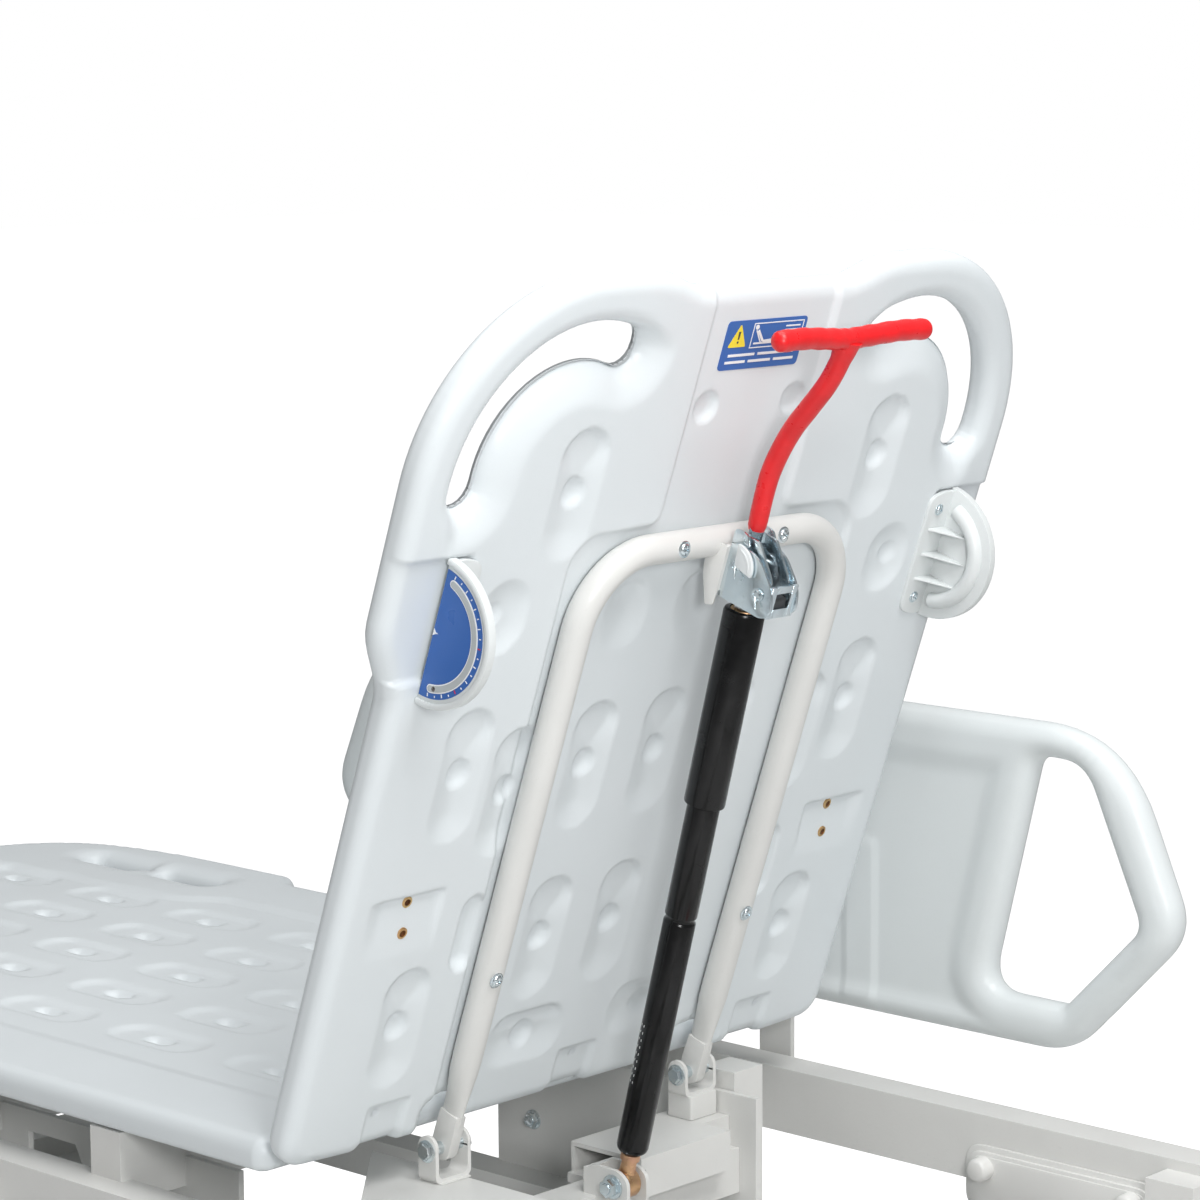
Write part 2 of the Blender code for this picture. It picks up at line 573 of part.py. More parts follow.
# ---- backrest, modelled flat: X along the board, Z opposite to its back ------------------------
def backrest_outline():
    centre_t, centre_y = SHOULDER_CENTRE
    half = [(BACK_TOP, 0.085), (BACK_TOP + 0.004, 0.105), (BACK_TOP + 0.014, 0.128),
            (centre_t + SHOULDER_R, 0.150)]
    half += arc((centre_t, centre_y), SHOULDER_R, 0, 90, 10)
    half += [(0.500, 0.372), (0.482, 0.368), (0.466, 0.354), (0.448, 0.346), (0.430, HALF_NARROW)]
    half += [(BACK_LOW + 0.030, HALF_NARROW), (BACK_LOW + 0.009, HALF_NARROW - 0.009),
             (BACK_LOW, HALF_NARROW - 0.030)]
    return half + [(t, -y) for t, y in reversed(half)]


def handle_slot(side):
    """Curved hand slot inside one top corner, following the shoulder."""
    centre = SHOULDER_CENTRE
    outer, inner = SHOULDER_R - 0.040, SHOULDER_R - 0.076
    middle, end_r = (outer + inner) / 2, (outer - inner) / 2
    start, stop = -20, 92
    points = arc(centre, outer, start, stop, 10)
    tip = arc(centre, middle, stop, stop, 1)[0]
    points += arc(tip, end_r, stop, stop + 180, 5)[1:-1]
    points += arc(centre, inner, stop, start, 8)
    tip = arc(centre, middle, start, start, 1)[0]
    points += arc(tip, end_r, start + 180, start + 360, 5)[1:-1]
    return [(t, side * y) for t, y in points]


def frame_path(start_t):
    """Centreline of the U-frame, from one leg's end over the crossbar to the other."""
    corner = FRAME_BAR_T - FRAME_BEND
    half = arc((corner, FRAME_LEG_Y - FRAME_BEND), FRAME_BEND, 90, 0, 5)
    path = [(start_t, FRAME_LEG_Y)] + half
    return [(t, y, 0.0) for t, y in path] + [(t, -y, 0.0) for t, y in reversed(path)]


def backrest(axis):
    front, back = BOARD_TOP + 0.001, BOARD_TOP + 0.001 - BOARD_THICK
    board = show("backrest_board", prism(backrest_outline(), 2, back, front), BOARD, axis)
    for _, side in SIDES:
        cut(board, prism(handle_slot(side), 2, back - 0.02, front + 0.02), parent=axis)
    cut(board, sweep(frame_path(-0.05), FRAME_TUBE_R + 0.0012, 16), parent=axis)

    tube = show("backrest_frame", sweep(frame_path(0.030), FRAME_TUBE_R, 12), PAINT, axis)
    for _, side in SIDES:
        y = side * FRAME_LEG_Y
        lug = rounded([(-0.012, -0.0095), (-0.012, 0.0095), (0.036, 0.0095), (0.036, -0.0095)], 0.008)
        join(tube, prism(lug, 1, y - 0.0095, y + 0.0095), parent=axis)
        cut(tube, rod((0, y - 0.03, 0), (0, y + 0.03, 0), 0.0063), parent=axis)

    arm = show("bracket_arm", block((0.508, -0.026, -0.0205), (0.538, 0.026, -0.0165)), PAINT, axis)
    for y in (-0.024, 0.024):
        join(arm, block((0.508, y - 0.002, -0.0205), (0.5405, y + 0.002, 0.004)), parent=axis)
    cut(arm, sweep(frame_path(0.030), FRAME_TUBE_R + 0.0004, 16), parent=axis)

    bracket = show("spring_bracket", block((0.513, -0.018, -0.0238), (0.558, 0.018, -0.0209)), ZINC, axis)
    cheek = [(0.513, -0.0215), (0.513, -0.076), (0.538, -0.074), (0.560, -0.050), (0.560, -0.0215)]
    pivot_t, pivot_n = LEVER_PIVOT
    for _, side in SIDES:
        low, high = sorted((side * 0.0150, side * 0.0180))
        join(bracket, prism(rounded(cheek, 0.006), 1, low, high), parent=axis)
        join(bracket, rod((pivot_t, side * 0.0215, -pivot_n), (pivot_t, side * 0.0088, -pivot_n),
                          0.0030, 12), parent=axis)
    cut(bracket, block((0.500, -0.0150, -0.030), (0.557, 0.0150, -0.0239)), parent=axis)


def release_lever(axis):
    """Forked zinc lever in the bracket, with its dipped T grip."""
    pivot_t, pivot_n = LEVER_PIVOT
    lever = show("release_lever", block((0.562, -0.012, -0.0315), (0.568, 0.012, -0.0275)), ZINC, axis)
    side_plate = [(pivot_t - 0.008, -pivot_n + 0.008), (pivot_t - 0.008, -pivot_n - 0.007),
                  (pivot_t + 0.012, -pivot_n - 0.007), (0.568, -0.044), (0.568, -0.0275),
                  (0.5585, -0.0275), (0.554, -0.044), (0.546, -0.0535)]
    for _, side in SIDES:
        low, high = sorted((side * 0.0095, side * 0.0120))
        join(lever, prism(side_plate, 1, low, high), parent=axis)
    cut(lever, rod((pivot_t, -0.03, -pivot_n), (pivot_t, 0.03, -pivot_n), 0.0033, 12), parent=axis)
    join(lever, block((0.5625, -0.0075, -0.0300), (0.5765, 0.0075, -0.0270)), parent=axis)

    stem = [(0.577, 0, -0.028), (0.600, 0, -0.0265), (0.622, 0, -0.027), (0.645, 0, -0.031),
            (0.668, 0, -0.038), (0.690, 0, -0.048), (0.715, 0, -0.059), (0.738, 0, -0.065), (0.757, 0, -0.067)]
    grip = show("release_grip", sweep(stem, 0.0085, 12), RED, axis)
    bar = [(0.762, 0.090, -0.071), (0.762, 0.060, -0.070), (0.759, 0.025, -0.068), (0.757, 0, -0.067),
           (0.759, -0.025, -0.068), (0.762, -0.060, -0.070), (0.762, -0.090, -0.071)]
    join(grip, sweep(bar, 0.0085, 12), parent=axis)


def angle_gauges(axis):
    """D-shaped angle gauges standing on the board's back near its side edges."""
    seat = BOARD_TOP + 0.001 - BOARD_THICK - GAP
    for name, side in SIDES:
        centre = (GAUGE_T, -GAUGE_N)
        outline = arc(centre, GAUGE_R, 180, 360, 16)
        outline = [(GAUGE_T - GAUGE_R, seat)] + outline + [(GAUGE_T + GAUGE_R, seat)]
        low, high = sorted((side * (GAUGE_FACE_Y - 0.008), side * GAUGE_FACE_Y))
        gauge = show(f"angle_gauge_{name}", prism(outline, 1, low, high), COVER, axis)
        flange = sorted((side * 0.286, side * (GAUGE_FACE_Y - 0.004)))
        join(gauge, block((GAUGE_T - 0.054, flange[0], seat - 0.004), (GAUGE_T + 0.054, flange[1], seat)),
             parent=axis)
        for t in (GAUGE_T - 0.028, GAUGE_T, GAUGE_T + 0.028):
            wall = side * (GAUGE_FACE_Y - 0.004)
            tip = side * 0.292
            rib = [(tip, seat - 0.002), (wall, seat - 0.002), (wall, seat - 0.034)]
            join(gauge, prism(rib, 0, t - 0.0012, t + 0.0012), parent=axis)
        track = [(GAUGE_T + GAUGE_TRACK_R * cos(a), side * (GAUGE_FACE_Y - 0.0035),
                  -GAUGE_N + GAUGE_TRACK_R * sin(a))
                 for a in (radians(180 + 9 + 162 * k / 16) for k in range(17))]
        cut(gauge, sweep(track, 0.0050, 10), parent=axis)
        ball_axis = empty(f"ball_axis_{name}", (GAUGE_T, side * (GAUGE_FACE_Y - 0.0035), -GAUGE_N))
        ball_axis.parent = axis
        down = 1.5 * pi - BACK_ANGLE
        ball = bmesh.new()
        bmesh.ops.create_icosphere(ball, subdivisions=2, radius=BALL_R)
        ball.transform(Matrix.Translation((GAUGE_TRACK_R * cos(down), 0, GAUGE_TRACK_R * sin(down))))
        show(f"gauge_ball_{name}", ball, DARK, ball_axis)


def gas_spring():
    """Lockable gas spring, modelled along X from its lower eye."""
    dx, dz = SPRING_TOP[0] - SPRING_PIVOT[0], SPRING_TOP[1] - SPRING_PIVOT[1]
    length = hypot(dx, dz)
    place = (HINGE.x + SPRING_PIVOT[0], 0.0, HINGE.z + SPRING_PIVOT[1])
    axis = empty("spring_axis", place, (0.0, -atan2(dz, dx), 0.0))

    eye = show("spring_eye", rod((0, -0.0075, 0), (0, 0.0075, 0), 0.0125, 20), BRASS, axis)
    join(eye, rod((0.006, 0, 0), (0.0317, 0, 0), 0.0065, 16), parent=axis)
    cut(eye, rod((0, -0.02, 0), (0, 0.02, 0), 0.0053, 16), parent=axis)

    body = show("spring_cylinder", rod((0.032, 0, 0), (0.436, 0, 0), 0.014, 24), BLACK, axis)
    cut(body, rod((0.300, 0, 0), (0.460, 0, 0), 0.0062, 16), parent=axis)

    sleeve = show("spring_sleeve", rod((0.363, 0, 0), (0.540, 0, 0), 0.0175, 24), BLACK, axis)
    cut(sleeve, rod((0.350, 0, 0), (0.536, 0, 0), 0.0150, 24), parent=axis)
    cut(sleeve, rod((0.500, 0, 0), (0.560, 0, 0), 0.0053, 16), parent=axis)

    head = show("spring_rod", rod((0.402, 0, 0), (0.556, 0, 0), 0.0050, 16), STEEL, axis)
    join(head, rod((0.5403, 0, 0), (0.548, 0, 0), 0.0100, 6), parent=axis)
    join(head, block((length - 0.036, -0.0080, -0.0080), (length - 0.004, 0.0080, 0.0080)), parent=axis)


base()
pedals()
castors()
deck_frame()
leg_board()
hinge_brackets()
spring_anchor()
accessory_plates()
upper_columns()
bumpers()
side_rails()
back_axis = empty("backrest_axis", HINGE, (0.0, -BACK_ANGLE, 0.0))
backrest(back_axis)
release_lever(back_axis)
angle_gauges(back_axis)
gas_spring()
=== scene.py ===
"""Looks of the stretcher trolley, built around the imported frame. Metres, +Z up, X towards the head end."""
from math import cos, hypot, pi, radians, sin

import bmesh
import bpy
import numpy as np
from mathutils import Matrix, Vector


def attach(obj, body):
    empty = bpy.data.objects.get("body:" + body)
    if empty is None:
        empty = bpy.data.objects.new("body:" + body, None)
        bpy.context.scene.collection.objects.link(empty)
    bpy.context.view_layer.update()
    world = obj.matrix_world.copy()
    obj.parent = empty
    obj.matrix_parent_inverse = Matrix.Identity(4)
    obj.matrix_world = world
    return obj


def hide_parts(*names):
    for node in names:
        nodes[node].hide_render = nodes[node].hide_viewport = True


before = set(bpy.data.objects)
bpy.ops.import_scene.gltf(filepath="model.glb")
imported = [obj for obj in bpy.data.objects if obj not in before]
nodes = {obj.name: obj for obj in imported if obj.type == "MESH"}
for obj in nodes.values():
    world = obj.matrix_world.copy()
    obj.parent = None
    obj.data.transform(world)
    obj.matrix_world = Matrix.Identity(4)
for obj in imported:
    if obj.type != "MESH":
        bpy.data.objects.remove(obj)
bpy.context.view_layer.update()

# ---- places the pieces share ------------------------------------------------------------
HINGE = Vector((0.19, 0.0, 0.70))
BACK = radians(71)
ALONG = Vector((cos(BACK), 0.0, sin(BACK)))       # up the raised backrest
BEHIND = Vector((sin(BACK), 0.0, -cos(BACK)))     # out of its back
ACROSS = Vector((0.0, 1.0, 0.0))
SIDES = (("near", -1), ("far", 1))
ENDS = (("foot", -1), ("head", 1))


def panel_matrix(offset=0.0):
    """Local X across, Y up the backrest, Z out of its back."""
    m = Matrix.Identity(4)
    for column, axis in enumerate((ACROSS, ALONG, BEHIND)):
        for row in range(3):
            m[row][column] = axis[row]
    return Matrix.Translation(HINGE + BEHIND * offset) @ m


def on_back(t, y, n):
    """World place of a point up the backrest, across it and behind the hinge plane."""
    return HINGE + ALONG * t + ACROSS * y + BEHIND * n


# ---- camera ---------------------------------------------------------------------------------
camera = bpy.data.objects.new("camera", bpy.data.cameras.new("camera"))
camera.matrix_world = (Matrix.Translation(HINGE + Vector((2.142, -2.272, 0.901)))
                       @ Matrix.Rotation(radians(42.82), 4, "Z")
                       @ Matrix.Rotation(radians(90 - 8.154), 4, "X")
                       @ Matrix.Rotation(radians(-0.351), 4, "Z"))
camera.data.lens = 108.93
camera.data.sensor_width = 36.0
camera.data.clip_start = 0.05
camera.data.clip_end = 200.0
bpy.context.scene.collection.objects.link(camera)
bpy.context.scene.camera = camera


# ---- materials --------------------------------------------------------------------------------
class Shading:
    """A Principled material whose colour, roughness and fine relief vary by noise."""

    def __init__(self, name, colour, rough, metallic=0.0, ior=1.5):
        self.material = bpy.data.materials.new(name)
        self.material.use_nodes = True
        self.nodes = self.material.node_tree.nodes
        self.links = self.material.node_tree.links
        self.shader = self.nodes["Principled BSDF"]
        self.shader.inputs["Metallic"].default_value = metallic
        self.shader.inputs["IOR"].default_value = ior
        self.shader.inputs["Roughness"].default_value = rough
        self.shader.inputs["Base Color"].default_value = (*colour, 1.0)
        self.material.diffuse_color = (*colour, 1.0)
        self.colour = colour
        self.place = self.nodes.new("ShaderNodeTexCoord").outputs["Object"]
        self.height = None

    def new(self, kind, **values):
        made = self.nodes.new(kind)
        for key, value in values.items():
            if hasattr(made, key):
                setattr(made, key, value)
            else:
                made.inputs[key.replace("_", " ")].default_value = value
        return made

    def noise(self, scale, detail=3.0, rough=0.55, stretch=(1, 1, 1)):
        mapping = self.nodes.new("ShaderNodeMapping")
        mapping.inputs["Scale"].default_value = stretch
        self.links.new(self.place, mapping.inputs["Vector"])
        made = self.nodes.new("ShaderNodeTexNoise")
        made.inputs["Scale"].default_value = scale
        made.inputs["Detail"].default_value = detail
        made.inputs["Roughness"].default_value = rough
        self.links.new(mapping.outputs["Vector"], made.inputs["Vector"])
        return made.outputs["Fac"]

    def remap(self, source, low, high, to_low, to_high):
        made = self.nodes.new("ShaderNodeMapRange")
        for name, value in (("From Min", low), ("From Max", high), ("To Min", to_low), ("To Max", to_high)):
            made.inputs[name].default_value = value
        self.links.new(source, made.inputs["Value"])
        return made.outputs["Result"]

    def mix_colour(self, factor, other, amount=1.0):
        """Blend the base colour towards another by a 0-1 source."""
        made = self.nodes.new("ShaderNodeMix")
        made.data_type = "RGBA"
        socket = self.shader.inputs["Base Color"]
        if socket.links:
            self.links.new(socket.links[0].from_socket, made.inputs[6])
        else:
            made.inputs[6].default_value = (*self.colour, 1.0)
        made.inputs[7].default_value = (*other, 1.0)
        if amount != 1.0:
            factor = self.remap(factor, 0.0, 1.0, 0.0, amount)
        self.links.new(factor, made.inputs[0])
        self.links.new(made.outputs[2], socket)
        return self

    def vary_roughness(self, source, low, high, to_low, to_high):
        self.links.new(self.remap(source, low, high, to_low, to_high), self.shader.inputs["Roughness"])
        return self

    def bump(self, source, strength, distance):
        made = self.nodes.new("ShaderNodeBump")
        made.inputs["Strength"].default_value = strength
        made.inputs["Distance"].default_value = distance
        self.links.new(source, made.inputs["Height"])
        socket = self.shader.inputs["Normal"]
        if socket.links:
            self.links.new(socket.links[0].from_socket, made.inputs["Normal"])
        self.links.new(made.outputs["Normal"], socket)
        return self


def moulded(name, colour, rough=0.36):
    """Blow-moulded plastic: satin skin with fine grain, faint flow variation."""
    s = Shading(name, colour, rough)
    s.mix_colour(s.remap(s.noise(3.0, 2.0), 0.35, 0.65, 0.0, 1.0), tuple(c * 0.975 for c in colour))
    s.mix_colour(s.remap(s.noise(900.0, 2.0), 0.55, 0.8, 0.0, 1.0), tuple(c * 0.93 for c in colour), 0.5)
    s.vary_roughness(s.noise(14.0, 4.0), 0.3, 0.7, rough - 0.04, rough + 0.05)
    s.bump(s.noise(1500.0, 2.0), 0.10, 0.0002)
    s.bump(s.noise(28.0, 2.0), 0.05, 0.0012)
    return s.material


def painted(name, colour, rough=0.33):
    """Powder coat over steel: orange peel, slight dirt in the colour."""
    s = Shading(name, colour, rough)
    s.mix_colour(s.remap(s.noise(11.0, 3.0), 0.35, 0.7, 0.0, 1.0), tuple(c * 0.955 for c in colour))
    s.mix_colour(s.remap(s.noise(420.0, 2.0), 0.62, 0.8, 0.0, 1.0), tuple(c * 0.88 for c in colour), 0.4)
    s.vary_roughness(s.noise(24.0, 4.0), 0.3, 0.7, rough - 0.05, rough + 0.08)
    s.bump(s.noise(330.0, 2.0), 0.16, 0.0006)
    return s.material


def plated(name, colour, other, rough=0.24, scale=55.0):
    """Zinc-plated steel: blue and straw clouds, rolled grain."""
    s = Shading(name, colour, rough, metallic=1.0)
    s.mix_colour(s.remap(s.noise(scale, 3.0), 0.38, 0.66, 0.0, 1.0), other)
    s.mix_colour(s.remap(s.noise(scale * 3, 4.0), 0.5, 0.75, 0.0, 1.0), tuple(c * 0.88 for c in colour), 0.4)
    s.vary_roughness(s.noise(160.0, 4.0), 0.3, 0.7, rough - 0.05, rough + 0.08)
    s.bump(s.noise(500.0, 2.0), 0.05, 0.0001)
    return s.material


def enamel(name, colour, rough=0.25):
    s = Shading(name, colour, rough)
    s.mix_colour(s.remap(s.noise(60.0, 4.0), 0.5, 0.75, 0.0, 1.0), tuple(min(1, c * 1.8 + 0.004) for c in colour))
    s.vary_roughness(s.noise(90.0, 5.0), 0.3, 0.7, rough - 0.06, rough + 0.12)
    s.bump(s.noise(600.0, 2.0), 0.08, 0.0002)
    s.shader.inputs["Specular IOR Level"].default_value = 0.36
    return s.material


def dipped(name, colour, rough=0.3):
    s = Shading(name, colour, rough)
    s.mix_colour(s.remap(s.noise(40.0, 3.0), 0.35, 0.7, 0.0, 1.0), tuple(c * 0.82 for c in colour))
    s.vary_roughness(s.noise(70.0, 4.0), 0.3, 0.7, rough - 0.05, rough + 0.12)
    s.bump(s.noise(160.0, 3.0), 0.22, 0.0006)
    s.shader.inputs["Subsurface Weight"].default_value = 0.05
    s.shader.inputs["Subsurface Radius"].default_value = (0.004, 0.001, 0.001)
    return s.material


def rubbery(name, colour, rough=0.62):
    s = Shading(name, colour, rough)
    s.mix_colour(s.remap(s.noise(35.0, 4.0), 0.4, 0.7, 0.0, 1.0), tuple(min(1, c * 1.35) for c in colour))
    s.vary_roughness(s.noise(80.0, 4.0), 0.3, 0.7, rough - 0.1, rough + 0.12)
    s.bump(s.noise(900.0, 3.0), 0.25, 0.0003)
    return s.material


BOARD = moulded("board_plastic", (0.72, 0.765, 0.785))
RAIL = moulded("rail_plastic", (0.71, 0.75, 0.755))
PAINT = painted("frame_paint", (0.715, 0.715, 0.695))
ZINC = plated("zinc_blue", (0.64, 0.73, 0.78), (0.70, 0.76, 0.78), 0.20, 22.0)
SCREW = plated("screw_zinc", (0.68, 0.77, 0.82), (0.80, 0.84, 0.84), 0.2)
COPPER = plated("yellow_zinc", (0.70, 0.40, 0.27), (0.72, 0.47, 0.24), 0.3)
INSERT = plated("insert_brass", (0.60, 0.36, 0.17), (0.66, 0.46, 0.22), 0.3)
# dark plugs for the inserts' holes: painted shade standing in for the shadow inside the threaded bores
BORE_SHADE = plated("insert_bore_shade", (0.16, 0.07, 0.03), (0.10, 0.04, 0.02), 0.4)
BLACK = enamel("black_enamel", (0.0018, 0.0019, 0.0022), 0.17)
RED = dipped("red_dip", (0.78, 0.012, 0.016))
RUBBER = rubbery("grey_rubber", (0.19, 0.20, 0.21))
COVER = moulded("cover_plastic", (0.74, 0.765, 0.77), 0.42)
GAUGE = moulded("gauge_plastic", (0.705, 0.735, 0.735), 0.32)
BLUE = moulded("dial_blue", (0.035, 0.13, 0.43), 0.30)
WHITE = moulded("dial_white", (0.88, 0.89, 0.89), 0.30)
TICK_RED = moulded("dial_red", (0.62, 0.02, 0.05), 0.30)
CHANNEL = moulded("dial_channel", (0.46, 0.49, 0.50), 0.22)
YELLOW = moulded("label_yellow", (0.90, 0.72, 0.04), 0.30)
DARK = rubbery("dark_plastic", (0.035, 0.037, 0.04), 0.45)
STEEL = plated("column_steel", (0.60, 0.61, 0.62), (0.68, 0.69, 0.70), 0.3, 18.0)
BALL = plated("ball_steel", (0.20, 0.18, 0.17), (0.30, 0.28, 0.26), 0.2)


# ---- pieces -------------------------------------------------------------------------------------
def piece(name, mesh, look, body, stands_for=(), smooth=40):
    """Link a finished mesh as a piece that rides on a body."""
    made = bpy.data.objects.new(name, mesh)
    bpy.context.scene.collection.objects.link(made)
    looks = look if isinstance(look, (list, tuple)) else [look]
    for one in looks:
        mesh.materials.append(one)
    if smooth:
        mesh.shade_smooth()
        if smooth < 180:
            mesh.set_sharp_from_angle(angle=radians(smooth))
    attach(made, body)
    if stands_for:
        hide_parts(*stands_for)
    return made


def mesh_of(shape, name, matrix=None):
    """A bmesh as a mesh whose faces look outwards."""
    if matrix is not None:
        shape.transform(matrix)
    shape.normal_update()
    bmesh.ops.recalc_face_normals(shape, faces=shape.faces)
    mesh = bpy.data.meshes.new(name)
    shape.to_mesh(mesh)
    shape.free()
    return mesh


def merged(*shapes):
    """Several bmeshes as one."""
    whole = bmesh.new()
    for shape in shapes:
        carrier = bpy.data.meshes.new("carrier")
        shape.to_mesh(carrier)
        shape.free()
        whole.from_mesh(carrier)
        bpy.data.meshes.remove(carrier)
    return whole


def tube(points, radius, sides=32, caps=True):
    """A round tube along a path; radius is one number or one per point."""
    points = [Vector(p) for p in points]
    count = len(points)
    radii = radius if isinstance(radius, (list, tuple)) else [radius] * count
    shape = bmesh.new()
    loops = []
    ahead = (points[1] - points[0]).normalized()
    side = ahead.cross(Vector((0, 0, 1)))
    if side.length < 1e-4:
        side = ahead.cross(Vector((0, 1, 0)))
    side.normalize()
    for i, point in enumerate(points):
        ahead = (points[min(i + 1, count - 1)] - points[max(i - 1, 0)]).normalized()
        side = (side - ahead * side.dot(ahead)).normalized()
        over = side.cross(ahead)
        loops.append([shape.verts.new(point + radii[i] * (cos(a) * side + sin(a) * over))
                      for a in (2 * pi * k / sides for k in range(sides))])
    for one, two in zip(loops, loops[1:]):
        for k in range(sides):
            j = (k + 1) % sides
            shape.faces.new((one[k], one[j], two[j], two[k]))
    if caps:
        shape.faces.new(loops[0])
        shape.faces.new(list(reversed(loops[-1])))
    return shape


def turned(profile, sides=32, matrix=None):
    """A profile of (along, radius) turned about local Z."""
    shape = bmesh.new()
    loops = []
    for along, radius in profile:
        if radius < 1e-6:
            loops.append([shape.verts.new((0, 0, along))])
        else:
            loops.append([shape.verts.new((radius * cos(2 * pi * k / sides), radius * sin(2 * pi * k / sides), along))
                          for k in range(sides)])
    for one, two in zip(loops, loops[1:]):
        for k in range(sides):
            j = (k + 1) % sides
            if len(one) == 1 and len(two) == 1:
                continue
            if len(one) == 1:
                shape.faces.new((one[0], two[j], two[k]))
            elif len(two) == 1:
                shape.faces.new((one[k], one[j], two[0]))
            else:
                shape.faces.new((one[k], one[j], two[j], two[k]))
    for end in (loops[0], loops[-1]):
        if len(end) > 1:
            shape.faces.new(end if end is loops[-1] else list(reversed(end)))
    if matrix is not None:
        shape.transform(matrix)
    return shape


def aimed(place, direction, spin=0.0):
    """Local Z along a direction."""
    turn = Vector(direction).to_track_quat("Z", "Y").to_matrix().to_4x4()
    return Matrix.Translation(Vector(place)) @ turn @ Matrix.Rotation(spin, 4, "Z")


def arc(centre, radius, start, end, steps):
    return [(centre[0] + radius * cos(radians(start + (end - start) * k / steps)),
             centre[1] + radius * sin(radians(start + (end - start) * k / steps)))
            for k in range(steps + 1)]


def rounded(corners, radius, steps=6):
    """A polygon with its corners rounded; radius is one number or one for each corner."""
    radii = radius if isinstance(radius, (list, tuple)) else [radius] * len(corners)
    result = []
    for i, corner in enumerate(corners):
        here = Vector(corner)
        before = Vector(corners[i - 1]) - here
        after = Vector(corners[(i + 1) % len(corners)]) - here
        size = min(radii[i], before.length * 0.48, after.length * 0.48)
        start = here + before.normalized() * size
        end = here + after.normalized() * size
        for k in range(steps + 1):
            f = k / steps
            point = start * (1 - f) ** 2 + here * 2 * f * (1 - f) + end * f ** 2
            result.append((point.x, point.y))
    return result


def slab_of(outline, low, high, matrix=None, bevel=0.0, segments=2):
    """An outline in local X and Y made solid between two heights, its rims rounded."""
    shape = bmesh.new()
    bottom = [shape.verts.new((x, y, low)) for x, y in outline]
    top = [shape.verts.new((x, y, high)) for x, y in outline]
    shape.faces.new(list(reversed(bottom)))
    shape.faces.new(top)
    for i in range(len(outline)):
        j = (i + 1) % len(outline)
        shape.faces.new((bottom[i], bottom[j], top[j], top[i]))
    bmesh.ops.recalc_face_normals(shape, faces=shape.faces)
    if bevel:
        flat = [e for e in shape.edges if abs(e.verts[0].co.z - e.verts[1].co.z) < 1e-7]
        bmesh.ops.bevel(shape, geom=flat, offset=bevel, segments=segments, affect="EDGES", profile=0.5,
                        clamp_overlap=True)
    if matrix is not None:
        shape.transform(matrix)
    return shape


def soften(node, look, width=0.0012, segments=2, angle=35):
    """A carried-over CAD node with its hard edges rounded."""
    made = nodes[node]
    made.data.materials.clear()
    made.data.materials.append(look)
    joined = made.modifiers.new("joined_faces", "WELD")
    joined.merge_threshold = 0.00002
    edge = made.modifiers.new("soft_edges", "BEVEL")
    edge.width = width
    edge.segments = segments
    edge.limit_method = "ANGLE"
    edge.angle_limit = radians(angle)
    edge.use_clamp_overlap = True
    edge.harden_normals = False
    made.data.shade_smooth()
    flatten = made.modifiers.new("flat_faces", "WEIGHTED_NORMAL")
    flatten.keep_sharp = False
    flatten.weight = 100


# ---- moulded slabs, from distances to their outlines ------------------------------------------
def polygon(points):
    """Distance inside a closed outline, positive inside."""
    corners = np.array(points, float)
    ends = np.roll(corners, -1, axis=0)

    def distance(x, y):
        best = np.full(x.shape, 1e9)
        inside = np.zeros(x.shape, bool)
        for (ax, ay), (bx, by) in zip(corners, ends):
            ex, ey = bx - ax, by - ay
            wx, wy = x - ax, y - ay
            share = np.clip((wx * ex + wy * ey) / (ex * ex + ey * ey + 1e-18), 0, 1)
            best = np.minimum(best, (wx - ex * share) ** 2 + (wy - ey * share) ** 2)
            if ay != by:
                crosses = (ay > y) != (by > y)
                inside ^= crosses & (x < ex * (y - ay) / (by - ay) + ax)
        best = np.sqrt(best)
        return np.where(inside, best, -best)

    return distance


def capsule(x, y, ax, ay, bx, by, radius):
    """Distance inside a stadium."""
    ex, ey = bx - ax, by - ay
    share = np.clip(((x - ax) * ex + (y - ay) * ey) / (ex * ex + ey * ey + 1e-12), 0, 1)
    return radius - np.hypot(x - ax - ex * share, y - ay - ey * share)


def smooth(value):
    value = np.clip(value, 0, 1)
    return value * value * (3 - 2 * value)


def scoop(distance, depth, width):
    """A dish with a crisp rim: depth reached in a curve over width."""
    s = np.clip(distance / width, 0, 1)
    return depth * (1 - (1 - s) ** 2)


def stadium(x, y, cx, cy, half, radius, depth=0.0056, dimple=0.0135, sideways=False, crisp=0.0055, soft=0.024):
    """Elongated dish, steep at its upper end and running out softly at its lower end, with a round dimple."""
    if sideways:
        d = capsule(x, y, cx - half, cy, cx + half, cy, radius)
        lean = (y - cy) / radius
    else:
        d = capsule(x, y, cx, cy - half, cx, cy + half, radius)
        lean = (y - cy) / (half + radius)
    upper = smooth((lean - 0.25) / 0.6)
    share = np.clip(d / (soft + (crisp - soft) * upper), 0, 1)
    low = depth * (1 - (1 - share) ** (1.25 + 0.75 * upper))
    if dimple:
        far = np.hypot(x - cx, y - cy)
        lean = (y - cy) / dimple
        low = low + scoop(dimple - far, 0.0056, 0.0085 - 0.0040 * np.clip(lean, -1, 1))
    return low


